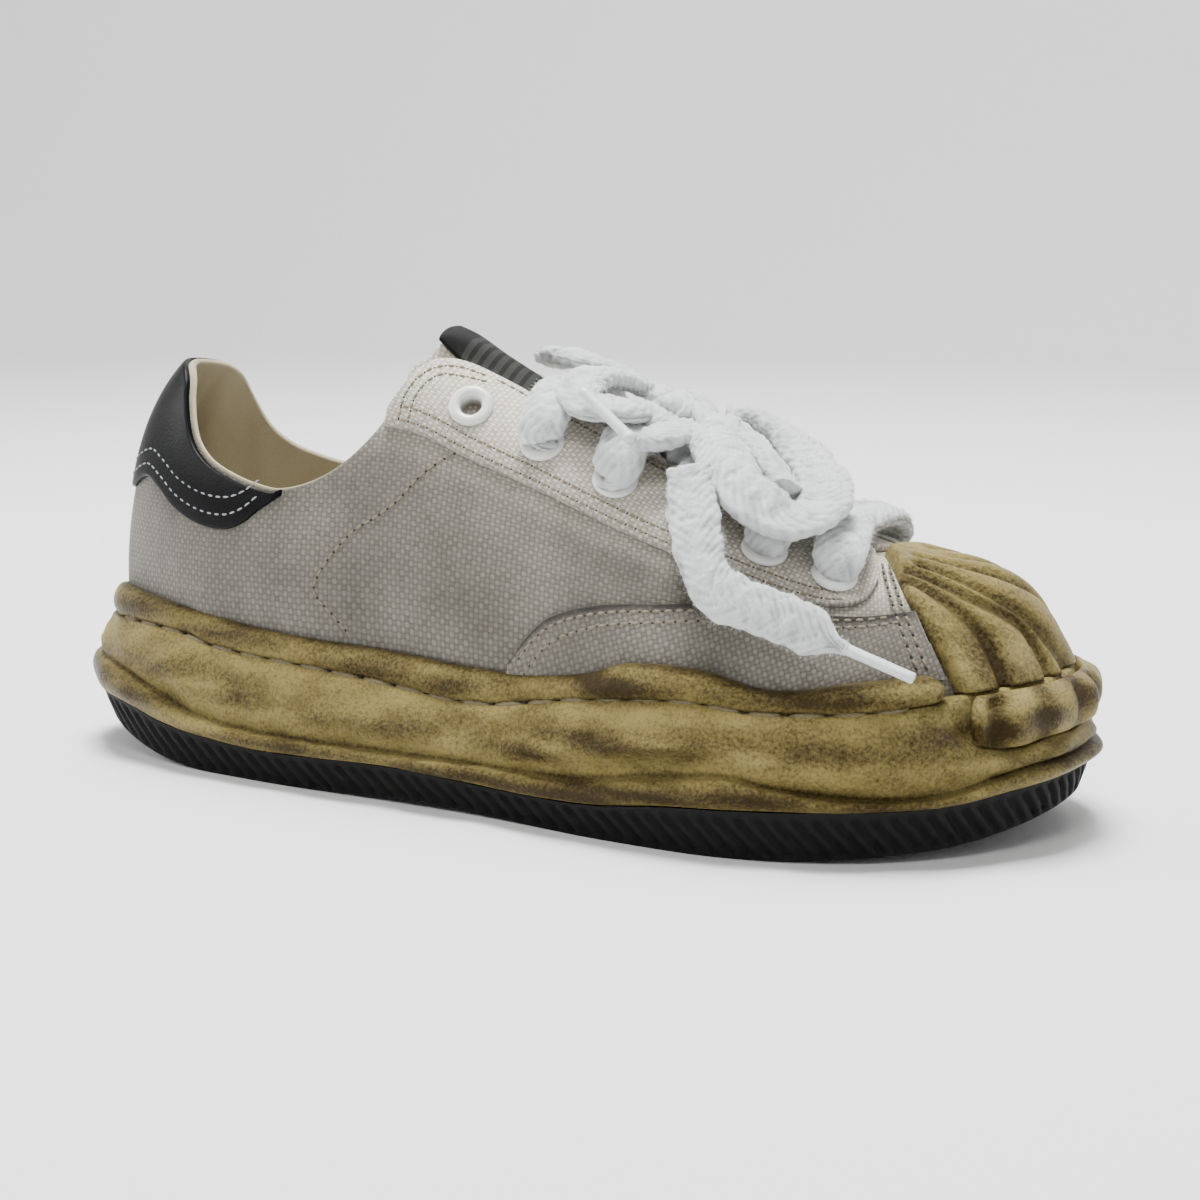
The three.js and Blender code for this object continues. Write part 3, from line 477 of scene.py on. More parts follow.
def dress(tree, shader, base, height, distance, strength, constants):
    bump = add(tree, "Bump", {"Height": height, "Distance": distance, "Strength": strength})
    tree.links.new(base, shader.inputs["Base Color"])
    tree.links.new(bump.outputs[0], shader.inputs["Normal"])
    for key, value in constants.items():
        shader.inputs[key].default_value = value


print("cream rubber in light values", [round(c, 3) for c in colour("#DCC791")[:3]])

# %% [markdown]
# ## Cotton canvas
# A heavy plain weave: each warp thread goes over one weft thread and under the next. In a
# cell of one thread by one thread either the warp or the weft lies on top, in turn like a
# chessboard. The pitch on this shoe is 1.35 mm. Threads are matt, with a soft sheen from
# loose fibres. Their colour is darker where a thread dips under its neighbour: that is painted
# shade between the threads. Over it lies a dark colour by the soil_and_shade value: dirt, and on
# the upper painted shade towards the bottom.

# %% Canvas material
THREAD_PITCH = (1.35, 1.05)


def woven(name, base, shade, dirt_and_shade, pitch=THREAD_PITCH, depth=0.00013):
    material, tree, shader = new_material(name)
    cloth = cloth_place(tree)
    wander = noise(tree, cloth, 160.0, 2.0, output=1)
    shaken = vector(tree, "ADD", cloth, vector(tree, "MULTIPLY", wander, (0.0007, 0.0007, 0)))
    cells = vector(tree, "MULTIPLY", shaken, (1000 / pitch[0], 1000 / pitch[1], 0))
    whole, part = vector(tree, "FLOOR", cells), vector(tree, "FRACTION", cells)
    which = add(tree, "SeparateXYZ", {0: whole}).outputs
    within = add(tree, "SeparateXYZ", {0: part}).outputs
    turn = maths(tree, "FLOORED_MODULO", maths(tree, "ADD", which[0], which[1]), 2.0)
    arcs = [maths(tree, "SINE", maths(tree, "MULTIPLY", within[k], math.pi)) for k in (0, 1)]
    tops = []
    for round_way, long_way in (arcs, arcs[::-1]):
        sunk = maths(tree, "MULTIPLY_ADD", long_way, 0.45, 0.55)
        tops.append(maths(tree, "MULTIPLY", sunk, maths(tree, "POWER", round_way, 0.5)))
    warp = maths(tree, "MULTIPLY", tops[1], 0.6)
    height = add(tree, "Mix", {0: turn, 2: tops[0], 3: warp}, data_type="FLOAT").outputs[0]
    rough_top = maths(tree, "MULTIPLY_ADD", noise(tree, cloth, 2600.0, 3.0), 0.35, height)
    # Darker where a thread dips under its neighbour: painted shade between threads, with random tone
    # from thread to thread
    lit = maths(tree, "MULTIPLY_ADD", noise(tree, whole, 0.7, 1.0), 0.7, height)
    threads = blend(tree, ranged(tree, lit, 0.3, 1.3), colour(shade), colour(base))
    uneven = maths(tree, "MULTIPLY_ADD", noise(tree, cloth, 45.0, 4.0), 0.35, 0.75)
    # Mixed in by the soil_and_shade value: real dirt, and on the upper painted shade darker towards the
    # bottom
    stained_and_shaded = maths(tree, "MULTIPLY", soil_and_shade_of(tree), uneven, use_clamp=True)
    dress(tree, shader, blend(tree, stained_and_shaded, threads, colour(dirt_and_shade)), rough_top, depth, 0.9,
          {"Roughness": 0.92, "Sheen Weight": 0.25, "Specular IOR Level": 0.25})
    return material


canvas = woven("cotton_canvas", "#EFE9DA", "#8A826F", "#27241E")
lining = woven("cotton_lining", "#BDB396", "#A79C80", "#5E5238", pitch=(0.6, 0.6), depth=0.00005)
print("canvas has", round(25.4 / THREAD_PITCH[0]), "threads to the inch")

# %% [markdown]
# ## Cream rubber with a rubbed patina
# The sole is moulded rubber, sprayed dark and rubbed back by hand, so black-brown stays as
# fine speckle on blotches and in troughs. A cloudy noise, drawn out along the sole, and the
# listed blotches, carried by the soil_and_shade value, say how much is left; on the foxing that
# value also holds painted shadow along its edges. A fine noise breaks it into specks, and a
# thin brown film lies between them. Rubber's IOR is about 1.5 and it is satin here, a little
# glossier where it is dark.


# %% Rubber materials
def patinated_rubber(name, base, warm, dark, film):
    material, tree, shader = new_material(name)
    place = add(tree, "TexCoord").outputs["Object"]
    drawn_out = vector(tree, "MULTIPLY", place, (0.45, 0.8, 1.2))
    cloud = ranged(tree, noise(tree, drawn_out, 115.0, 4.0), 0.36, 0.66)
    soil_and_shade = maths(tree, "MULTIPLY", soil_and_shade_of(tree), 0.75)
    speck = noise(tree, place, 1100.0, 5.0, Roughness=0.7)
    amount = maths(tree, "MULTIPLY_ADD", cloud, 0.4, soil_and_shade)
    patina = ranged(tree, maths(tree, "MULTIPLY_ADD", speck, 2.7, amount), 1.42, 2.4)
    cream = blend(tree, noise(tree, place, 28.0, 2.0), colour(base), colour(warm))
    filmed = blend(tree, ranged(tree, amount, 0.1, 1.3, 0.0, 0.75), cream, colour(film))
    height = maths(tree, "MULTIPLY_ADD", speck, 0.8, noise(tree, place, 420.0, 5.0))
    dress(tree, shader, blend(tree, patina, filmed, colour(dark)), height, 0.0013, 0.9,
          {"IOR": 1.5, "Specular IOR Level": 0.3, "Specular Tint": colour("#E2CF9E")})
    tree.links.new(ranged(tree, patina, 0.0, 1.0, 0.42, 0.36), shader.inputs["Roughness"])
    return material


cream_rubber = patinated_rubber("cream_rubber", "#988A58", "#7D6E3A", "#261B07", "#3A2C0E")


def plain_surface(name, base, shade, roughness, grain=0.0, scale=900.0, ior=1.5, specular=0.5):
    material, tree, shader = new_material(name)
    grains = noise(tree, add(tree, "TexCoord").outputs["Object"], scale, 4.0)
    dress(tree, shader, blend(tree, grains, colour(base), colour(shade)), grains, grain, 0.6,
          {"Roughness": roughness, "IOR": ior, "Specular IOR Level": specular})
    return material


black_rubber = plain_surface("black_outsole_rubber", "#020202", "#080807", 0.7, 0.0002,
                             specular=0.2)
leather = plain_surface("smooth_black_leather", "#010102", "#040508", 0.36, 0.0002, 1500.0,
                        specular=0.12)
enamel = plain_surface("white_enamel", "#E3E4E3", "#D2D2CC", 0.25, scale=60.0, ior=1.6)
clear_sleeve = plain_surface("frosted_sleeve", "#D9DCDD", "#C3C6C8", 0.3, scale=300.0, ior=1.46)
thread = plain_surface("greige_thread", "#8E8571", "#5A5243", 0.85, 0.0003, 2500.0)
white_thread = plain_surface("white_thread", "#A9ACAF", "#6B6D70", 0.8, 0.0003, 2500.0)
sole_thread = plain_surface("waxed_sole_thread", "#776B46", "#332C1B", 0.6, 0.0003, 1500.0)
# The needle hole is a dark capsule sunk between stitches: painted shade of the hole, with some dirty
# thread
needle_hole_shade_and_grime = plain_surface("needle_hole_shade_and_grime", "#2B2720", "#2B2720", 0.95)
print(len(bpy.data.materials), "materials so far")

# %% [markdown]
# ## Braided lace
# The lace is a soft flat braid of thick cotton yarn, 13.5 mm wide. The braid is modelled: the
# yarns cross the width in two slanting directions that meet in the middle, like a plait, and
# each stands up as a ridge. A fine noise gives the small loops, and short fibres stand off it.

# %% Lace material and shape
lace_white, tree, shader = new_material("white_cotton_braid")
cloth = cloth_place(tree)
lengthways = vector(tree, "MULTIPLY", cloth, (0.5, 1.0, 1.0))
fibre = noise(tree, lengthways, 2200.0, 5.0, Roughness=0.75)
tone = blend(tree, fibre, colour("#BCBFC0"), colour("#E4E6E6"))
loops = add(tree, "TexVoronoi", {"Vector": cloth, "Scale": 520.0}, feature="SMOOTH_F1").outputs[0]
# The grey mixed in by the soil_and_shade value is painted shade between the yarns
dress(tree, shader, blend(tree, soil_and_shade_of(tree), tone, colour("#6C7072")),
      maths(tree, "MULTIPLY_ADD", fibre, 0.5, loops), -0.0009, 0.8,
      {"Roughness": 0.95, "Sheen Weight": 0.35})

LACE_WIDTH, LACE_THICKNESS = 13.5, 5.2
YARN_PITCH, BRAID_SIDES, FIBRES_PER_MM = 2.7, 52, 32


def smooth_path(points, step=0.6):
    p = np.array(points, float)
    knots = along(p)
    fine = np.arange(0, knots[-1], step)
    path = np.stack([smooth(np.stack([knots, values], 1), fine) for values in p.T], -1)
    length = along(path)
    return sample(np.linspace(0, length[-1], max(int(length[-1] / step), 8)), length, path)


# Loose fibres: each is a narrow bent strip that stands up from a point of the braid
def fuzz(points, path, rng, count, start, length=0.8, width=0.07):
    body = points[1:-1]
    ring = rng.integers(0, len(body), count)
    root = body[ring, rng.integers(0, body.shape[1], count)]
    out = unit(root - path[ring])
    lean = np.clip(rng.normal(0, 0.8, (count, 3)), -1.1, 1.1)
    middle = root + (out + lean * 0.5) * length * 0.5
    tip = middle + (out * 0.4 + lean) * length * 0.5
    side = unit(np.cross(out, lean)) * width / 2
    root = root - out * 0.3
    strips = np.stack([root - side, root + side, middle + side, middle - side,
                       tip + side * 0.3, tip - side * 0.3], 1)
    first = start + np.arange(count)[:, None] * 6
    faces = np.concatenate([first + [0, 1, 2, 3], first + [3, 2, 4, 5]])
    return strips.reshape(-1, 3), faces


# A lace lies flat on the foot, so its face looks away from the line in the foot's middle
def away_from_middle(path):
    return (path - [0, 0, 45]) * [0, 1, 1]


def lace_piece(name, points, nodes, width=LACE_WIDTH, thickness=LACE_THICKNESS, ends=(1.0, 1.0),
               faces_away=away_from_middle, seed=1):
    path = smooth_path(points)
    tangent = unit(np.gradient(path, axis=0))
    across = unit(np.cross(tangent, faces_away(path)))
    for _ in range(6):
        across[1:-1] = (across[:-2] + across[1:-1] * 2 + across[2:]) / 4
    across = unit(across)
    rise = np.cross(across, tangent)
    u = along(path)
    share = u / u[-1]
    size = np.minimum(mix(ends[0], 1, ramp(share, 0, 0.16)), mix(ends[1], 1, ramp(share, 1, 0.84)))
    angle = circle(BRAID_SIDES)
    flat, deep = (np.sign(v) * np.abs(v) ** 0.8 for v in (np.cos(angle), np.sin(angle)))
    rng = np.random.default_rng(seed)
    wave = sum(a * np.sin(u * 2 * np.pi / w + p) for a, w, p in
               zip((0.5, 0.4, 0.3), (23, 13, 8), rng.uniform(0, 6, 3)))
    wander = 0.35 * np.sin(u / 4.1 + seed) + 0.3 * np.sin(u / 7.3 + 2 * seed)
    aside = np.sign(deep) * np.abs(flat) * width / 2
    yarn = np.abs(np.sin(np.pi * ((u / YARN_PITCH + wander)[:, None] + aside / YARN_PITCH))) ** 0.7
    relief = (yarn - 0.6) * 0.65 * (0.6 + 0.4 * (1 - np.abs(flat) ** 6))
    lumps = rng.normal(0, 1, relief.shape)
    for axis in (0, 1) * 3:
        lumps = (np.roll(lumps, 1, axis) + lumps + np.roll(lumps, -1, axis)) / 3
    relief = relief + lumps * 0.8 + rng.normal(0, 0.035, relief.shape)
    half = ((width / 2 + wave * 0.5) * size)[:, None]
    thick = (thickness / 2 * (0.75 + 0.25 * size))[:, None]
    across_at = np.clip(flat * (half + relief * np.abs(flat)), -width * 0.6, width * 0.6)
    rise_at = deep * (thick + relief)
    points = (path[:, None] + across[:, None] * across_at[..., None]
              + rise[:, None] * rise_at[..., None])
    uv = np.stack(np.broadcast_arrays(u[:, None], angle * 5), -1)
    # Painted shade where the yarns dip and the braid sinks, carried as the soil_and_shade value
    dark = np.clip(0.8 - yarn - lumps * 2.0, 0, 1) * 0.5
    points, uv, dark = (np.concatenate([v[:1], v, v[-1:]]) for v in (points, uv, dark))
    points[0], points[-1] = path[0], path[-1]
    hairs, hair_faces = fuzz(points, path, rng, int(u[-1] * FIBRES_PER_MM), points.size // 3)
    piece = make_piece(name, np.concatenate([points.reshape(-1, 3), hairs]),
                       np.concatenate([grid_faces(len(points), BRAID_SIDES, closed=True), hair_faces]),
                       [lace_white], nodes,
                       np.concatenate([uv.reshape(-1, 2), np.zeros((len(hairs), 2))]),
                       np.concatenate([dark.ravel(), np.zeros(len(hairs))]))
    return piece, path


print("lace is", LACE_WIDTH, "mm wide")

# %% [markdown]
# ## Knot, loops and ends
# The cords come first: a bow lies on the instep, its front loop towards the toe and its rear
# loop towards the ankle. The near end hangs over the outer side in a soft fold down to the
# foxing, and each end is pressed in a sleeve. The routes are the points that were given for
# the solid model.

# %% Lace routes
FRONT_LOOP = [
    (202.2, 1, 106.4), (209, 4, 105), (218, 3, 100.5), (227, -4, 94.5), (234, -14, 89),
    (235, -25, 84.5), (229, -32.5, 84), (220, -33, 88.5), (212, -27.5, 95), (205, -19, 101),
    (201.9, -10, 105)]
REAR_LOOP = [
    (183.6, 3, 109), (178.5, 3, 112), (172, -2, 114.8), (167.8, -11, 115.8), (167.5, -20, 112.9),
    (172.5, -24, 109.6), (178.5, -20.5, 108.4), (184.2, -13, 107)]
NEAR_END = [
    (203, -31.5, 94.6), (206, -38, 86.5), (209, -43, 79), (212, -46.5, 72.5), (215.5, -48.5, 67.5),
    (220.5, -49, 65), (227.5, -48.5, 63), (235, -48, 60.5), (243, -47.5, 57), (249.5, -47, 54.4)]
FAR_END = [(192.5, -14.5, 103.5), (192.5, -23, 102), (191, -30, 101), (188.4, -34, 101.6)]
FAR_STRAND = [(143.5, 17.5, 118.5), (149, 13.5, 119.6), (157, 9.5, 118.6), (164, 8.6, 116.8),
              (170.2, 11, 113.4)]
NEAR_AGLET = [(249.9, -47, 54.3), (266.6, -46.5, 48.3)]
FAR_AGLET = [(186.5, -34.5, 103.2), (172.3, -30.6, 114)]
KNOT = np.array([191, -5, 104.7])


# A pressed sleeve: a lip where the lace goes in, and a rounded tip
def sleeve(name, ends, nodes, radius=1.7):
    a, b = (np.array(p, float) for p in ends)
    line = unit(b - a)
    side = unit(np.cross(line, [0, 0, 1]))
    share = np.array([-0.16, -0.1, 0, 0.005, 0.02, 0.1, 0.3, 0.5, 0.7, 0.9, 0.985, 1, 1, 0.97])
    size = np.array([0, 1.15, 1.15, 0.98, 1, 1, 0.96, 1, 0.97, 1, 1, 0.85, 0.6, 0]) * radius
    angle = circle(20)[:, None]
    ring = np.cos(angle) * side + np.sin(angle) * np.cross(line, side) * 0.85
    points = (a + (b - a) * share[:, None])[:, None] + ring * size[:, None, None]
    return make_piece(name, points, grid_faces(len(share), len(angle), closed=True),
                      [clear_sleeve], nodes)


around_knot = np.linspace(-0.6, 1.9, 15) * math.pi
knot_path = [KNOT + [7.0 * math.cos(a) * 0.8, 3.2 * (a / math.pi - 0.65), 4.6 * math.sin(a)]
             for a in around_knot]
knot_path += [(200, -7, 104), (209, -10, 101), (218, -15, 95.5), (226, -21, 88.5)]
knot, _ = lace_piece("bow_knot", knot_path, ["lace_knot"], width=15, thickness=6.5,
                     faces_away=lambda p: p - KNOT + [0, 0, 6], seed=4)
aglet_near = sleeve("lace_sleeve_near", NEAR_AGLET, ["aglet_near"])
aglet_far = sleeve("lace_sleeve_far", FAR_AGLET, ["aglet_far"])
front_loop, path = lace_piece("bow_loop_front", FRONT_LOOP, ["lace_loop_front"], width=14,
                              seed=2)
rear_loop, path = lace_piece("bow_loop_rear", REAR_LOOP + FAR_END, ["lace_loop_rear", "lace_end_far"],
                             ends=(1.0, 0.3), seed=3)
near_end, path = lace_piece("bow_end_near", NEAR_END, ["lace_end_near"], width=12.5,
                            ends=(1.0, 0.28), seed=6)
strand, _ = lace_piece("lace_strand_to_top", FAR_STRAND, ["lace_strand_far"], seed=7)

# %% [markdown]
# ## Lace in the eyelets
# From the second pair of eyelets on, the lace comes up through each hole, gathered to the
# width of the hole, and opens out as it crosses the tongue. It is one piece from hole to
# hole. The top outer eyelet is empty.

# %% Lace bars
EYELETS = [21.85, 24.9, 28.05, 31.2, 34.5, 37.6]
EYELET_ROW = 0.64
HALF_CROSSING = [(EYELET_ROW - 0.012, -3.5, 0), (EYELET_ROW - 0.012, 1.5, 0),
                 (EYELET_ROW + 0.004, 5.2, 1), (0.7, 7.2, 1), (0.78, 7.4, 1), (0.9, 5.6, 1)]


def away_from_foot(path):
    return path * [0, 1, 1] + [12, 1, -40]


for number, c in enumerate(EYELETS[1:], 2):
    lift = 1.2 * float(ramp(c, 34, 37.6))
    t, out, lifted = np.array(HALF_CROSSING).T
    out = out + lift * lifted
    stations = np.concatenate([np.full(len(t), c), [c], np.full(len(t), 100 - c)])
    places = skin(stations, np.concatenate([t, [1.0], t[::-1]]),
                  np.concatenate([out, [4.0 + lift], out[::-1]]))
    lace_piece(f"lace_crossing_{number}", places, [f"lace_bar_{number}"], ends=(0.46, 0.46),
               faces_away=away_from_foot, seed=10 + number)
print("crossings", len(EYELETS) - 1)

# %% [markdown]
# ## Rubbed blotches
# Where the dark spray was left is listed: each blotch has a station, a height, how far
# it spreads both ways and how strong it is. The inner side, which a photo from outside does
# not show, gets the same kind of blotches further along.

# %% Blotches of the sole
BLOTCHES = [
    (1.5, 44, 1.6, 4, 0.9), (3.2, 24, 2.6, 5, 1.0), (5.6, 45, 2.0, 4, 0.8), (7.5, 20, 2.5, 4, 0.7),
    (9.0, 30, 3.5, 5, 0.55), (12.5, 41, 2.2, 3, 0.6), (12.5, 24, 4.0, 4, 0.5), (15, 13, 2.5, 3, 0.75),
    (18.5, 36, 1.6, 3, 0.55), (19.5, 22, 3.0, 4, 0.6), (22.5, 35, 1.0, 3, 0.8), (23.5, 12, 2.5, 3, 0.8),
    (25.5, 21, 2.0, 4, 0.9), (27.5, 12, 2.5, 3, 1.0), (29.5, 27, 2.3, 4, 1.1), (29.8, 41, 1.6, 4, 1.2),
    (31, 15, 3.0, 3, 1.1), (33, 30, 2.5, 4, 0.6), (35, 17, 3.0, 4, 0.8), (37, 41, 2.6, 3, 0.9),
    (39, 29, 2.5, 5, 0.75), (40, 16, 2.4, 3, 0.7), (41.5, 33, 1.6, 5, 0.95), (43, 22, 2.0, 4, 0.5),
    (44.2, 33, 0.8, 4, 1.0), (46, 36, 0.8, 3, 1.1), (47.5, 24, 2.0, 4, 0.8), (49.5, 38, 1.2, 4, 0.9),
    (51.5, 25, 2.0, 5, 0.8), (54, 36, 1.5, 4, 0.8)]


def rubbed(station, height):
    s = np.asarray(station, float) % 100
    s = np.where(s > 56, (100 - s) + 1.7, s)
    total = np.zeros(np.broadcast(s, height).shape)
    for at, z, wide, tall, strength in BLOTCHES:
        near = bell(s - at, 1.35 * wide) * bell(height - z, 0.7 * tall)
        total = np.maximum(total, strength * near)
    return total


print(len(BLOTCHES), "blotches")

# %% [markdown]
# ## Midsole
# The midsole is a thick cup with a rolled rib at the bottom, a crease above it, a wavy wall
# and a ledge where it is stitched to the foxing. Its section at each station is a short list
# of insets and heights, smoothed, and the wall gets soft lumps like wax that has run.

# %% Midsole
FINE_STATIONS = np.linspace(0, 100, 640, endpoint=False)
MIDDLE = np.array([155, 0])
RIB_SECTION = [(1.3, 0.16), (0.1, 0.5), (1.1, 0.82), (3.7, 1.0)]
WALL_SECTION = [(2.9, 0, 0.14), (2.5, 0.9, 0.3), (2.6, 1.8, 0.5), (3.3, 1.9, 0.7),
                (4.6, 1.9, 0.88)]
WALL_LUMPS = [
    (9, 0.45, 2.2, 0.22, 1.4), (14.5, 0.5, 2.8, 0.25, -1.2), (19.5, 0.35, 2.4, 0.2, 1.3),
    (24, 0.55, 1.8, 0.25, -1.3), (27, 0.4, 1.6, 0.2, 1.5), (31.2, 0.42, 2.4, 0.1, 2.0),
    (31.0, 0.16, 2.8, 0.09, -1.3), (35, 0.6, 2.0, 0.2, -1.2), (38.5, 0.35, 2.2, 0.25, 1.3),
    (41.8, 0.65, 1.4, 0.25, 1.4), (46.5, 0.3, 2.5, 0.25, 0.9), (62, 0.4, 2.4, 0.2, 1.4),
    (67, 0.5, 2.4, 0.15, 1.5), (72, 0.4, 2.2, 0.25, -1.2), (78, 0.5, 2.6, 0.2, 1.3),
    (85, 0.4, 2.6, 0.22, -1.2), (91, 0.45, 2.2, 0.2, 1.4)]


def at_bumper(s):
    return ramp(s, 41.6, 43) * (1 - ramp(s, 57, 58.4))


def wall_lump(s, f):
    return sum(height * bell(s - at, wide) * bell(f - where, tall)
               for at, where, wide, tall, height in WALL_LUMPS)


s = FINE_STATIONS
rib_low, crease, groove = (around(line, s) for line in (RIB_BOTTOM, CREASE, GROOVE))
wall_top = mix(groove, around(BUMPER_BOTTOM, s), at_bumper(s))
heel = at_heel(s)
keys = [side_points(s, 3.6, rib_low + 0.15)]
keys += [side_points(s, inset, mix(rib_low, crease, f)) for inset, f in RIB_SECTION]
keys += [side_points(s, inset + more * heel, mix(crease, wall_top, f))
         for inset, more, f in WALL_SECTION]
keys += [side_points(s, 6.4 + heel, wall_top + 0.2), side_points(s, 8.4 + heel, groove - 0.1),
         skin(s, rib_at(s, groove), 0.5)]
points = spline(keys, 6)
height, ring = points[..., 2], np.arange(len(points))[:, None]
share = np.clip((height - crease) / (wall_top - crease), -1, 1)
on_wall = ramp(ring, 22, 28) * (1 - ramp(ring, 54, 60))
on_rib = bell(ring - 11, 7)
ripple = 0.3 * np.sin(s * 2.9 + 3 * np.sin(s * 0.45) + share * 5)
ripple = ripple + 0.25 * np.sin(s * 1.3 - share * 8 + 2 * np.sin(s * 0.8))
rib_wave = 0.5 * np.sin(s * 0.9 * 2 * np.pi / 3.7) + 0.4 * np.sin(s * 2 * np.pi / 5.3 + 1)
push = (1.2 * wall_lump(s, share) + ripple) * on_wall + np.minimum(rib_wave * on_rib, 0.3)
points[..., :2] += outwards(s) * push[..., None]
soil_and_shade = rubbed(s, height) + 0.25 * on_rib + 0.5 * bell(ring - 24, 1.6)
bottom, inner_top = points[:1].copy(), points[-1:].copy()
bottom[..., :2] = mix(bottom[..., :2], MIDDLE, 0.7)
inner_top[..., :2] = mix(inner_top[..., :2], MIDDLE, 0.15)
inner_top[..., 2] = 29.2
points = np.concatenate([bottom, points, inner_top])
make_piece("midsole_cup", points, grid_faces(len(points), len(s), closed=True), [cream_rubber],
           ["midsole"], soil_and_shade=np.concatenate([soil_and_shade[:1], soil_and_shade, soil_and_shade[-1:]]))
print("midsole rings", len(points))

# %% [markdown]
# ## Foxing and toe bumper
# The foxing is a strip of the same rubber, wrapped round the foot of the upper, and it swells
# and thins like a squeezed tube. The toe bumper is a thicker lip over the toe, with hollows
# as if thumbs had pressed it. Both are sections swept round the sole, with rounded ends.


# %% Foxing band and bumper
def swept(name, keys, nodes, soil_at):
    sections = spline(keys, 4, closed=True).transpose(1, 0, 2)
    soil_and_shade = soil_at(sections[..., 2])
    shrink = np.ones(len(sections))
    shrink[:5] = shrink[-1:-6:-1] = (0.0, 0.45, 0.72, 0.88, 0.97)
    centre = sections.mean(1, keepdims=True)
    sections = centre + (sections - centre) * shrink[:, None, None]
    return make_piece(name, sections, grid_faces(*sections.shape[:2], closed=True),
                      [cream_rubber], nodes, soil_and_shade=soil_and_shade)


FOXING_LUMPS = [(1.5, 1.6, 0.9), (5, 1.6, 1.0), (9.5, 1.2, -0.5), (14, 2.0, 0.6), (18, 1.4, -0.5),
                (22, 1.2, 0.8), (25, 1.4, -0.6), (29.6, 1.6, 1.6), (32.5, 1.4, 1.0), (35.5, 1.4, -0.6),
                (39, 1.8, 0.7), (41.8, 1.0, 1.0), (60, 1.8, 0.9), (64, 1.8, -0.5), (68, 1.8, 1.4),
                (73, 1.6, -0.5), (79, 2, 0.7), (86, 2, 0.6), (94, 1.8, 1.0)]
s = np.linspace(57.6, 142.4, 620)
low, high = around(GROOVE, s) + 0.4, around(FOXING_TOP, s)
foot = 6.6 + 1.6 * at_heel(s) - 0.25 * np.sin(s * 2.1) * np.sin(s * 0.7 + 1)
for at, wide, height in FOXING_LUMPS:
    foot = foot - height * 0.8 * bell((s - at + 50) % 100 - 50, wide)
keys = [side_points(s, foot + more, z) for more, z in (
    (2.6, low), (0.5, low + 0.3), (-0.5, mix(low, high, 0.3)), (-0.1, mix(low, high, 0.62)),
    (1.3, mix(low, high, 0.92)), (3.2, high + 0.3))]
keys += [skin(s, rib_at(s, z), 0.4) for z in (high - 0.4, mix(low, high, 0.5), low)]


def foxing_soil_and_shade(z):
    # Dark bands along both edges of the foxing: at its low edge, in the stitched groove, painted
    # shadow; along its top, where the canvas meets it, painted shadow with dirt.
    edge_shadow_and_dirt = 0.45 * bell(z - low[:, None], 0.8) + 0.55 * bell(z - high[:, None] - 0.3, 0.9)
    return rubbed(s[:, None], z) + 0.22 + edge_shadow_and_dirt


swept("foxing_strip", keys, ["foxing_band"], foxing_soil_and_shade)

HOLLOWS = (44.1, 46.2, 48.3, 50.1, 53.2, 55.4)
s = np.linspace(43.1, 56.9, 150)
low, high = around(BUMPER_BOTTOM, s) + 0.2, around(GROOVE, s) + 0.3
hollow = sum(bell(s - at, 0.5) for at in HOLLOWS)
lump = 0.9 * np.sin((s - 43) * 1.35) * np.sin((s - 50) * 0.5 + 1) + 0.35 * np.sin(s * 4.1)
lump = lump + 0.4 - 1.8 * hollow
keys = [side_points(s, inset - share * lump, z) for inset, share, z in (
    (6.9, 0, low + 0.7), (4.0, 0, low), (1.9, 1, mix(low, high, 0.12)),
    (0.9, 1, mix(low, high, 0.38)), (1.1, 1, mix(low, high, 0.65)),
    (2.6, 1, mix(low, high, 0.88)), (5, 0, high + 0.1), (6.9, 0, high),
    (6.9, 0, mix(low, high, 0.5)))]
swept("toe_bumper_lip", keys, ["toe_bumper"],
      lambda z: rubbed(s[:, None], z) + 0.85 * hollow[:, None])
print("foxing and bumper made")

# %% [markdown]
# ## Outsole
# Black moulded rubber, with slanting bars on its side that can be seen under the rib, and
# chevrons underneath. Side and underside are two grids, and the tread is pressed in where a
# repeating pattern says so.

# %% Outsole
TREAD_PITCH, TREAD_DEPTH, BAR_PITCH = 14, 2.2, 5.2


def floor_line(x):
    z = np.where(x < 60, 16.3 * ((60 - x) / 60) ** 2, 0)
    z = z + np.where(x > 215, 8.1 * ((x - 215) / 90) ** 2, 0)
    z = z + np.where(x > 270, 4.2 * ((x - 270) / 30) ** 2, 0)
    arch = (x > 85) & (x < 178)
    return z + np.where(arch, 1.2 * np.sin(np.pi * (x - 85) / 93) ** 2, 0)


def tread(x, y):
    at = (x - 4 + 0.32 * np.abs(y)) % TREAD_PITCH
    in_groove = ramp(at, 11.4, 12) * (1 - ramp(at, 13.7, 14.3))
    for px, py in (HEEL_PAD, (197, -2)):
        in_groove = in_groove * (np.hypot(x - px, y - py) > 10)
    return TREAD_DEPTH * in_groove


s = np.linspace(0, 100, 1200, endpoint=False)
rows, under_rows = 16, 56
f = np.linspace(0, 1, rows)[:, None]
flank_z = mix(floor_line(outline(s, 6.0)[:, 0]), around(RIB_BOTTOM, s) - 0.15, f)
bars = np.sin((s / 100 * sole_length[-1] + flank_z * 0.9) * 2 * np.pi / BAR_PITCH)
inset = np.interp(f, [0, 0.55, 1], [6.0, 4.4, 3.4])
inset = inset + 1.1 * ramp(bars, 0.1, 0.5) * ramp(f, 0.02, 0.12) * (1 - ramp(f, 0.8, 0.92))
flank = side_points(np.broadcast_to(s, inset.shape), inset, flank_z)
h = np.linspace(0, 50, 420)
under_xy = mix(outline(h, 6.0), outline(100 - h, 6.0), np.linspace(0, 1, under_rows)[:, None, None])
x, y = under_xy[..., 0], under_xy[..., 1]
pressed = tread(x, y)
pressed[[0, -1]] = 0
under = np.concatenate([under_xy, (floor_line(x) + pressed)[..., None]], -1)
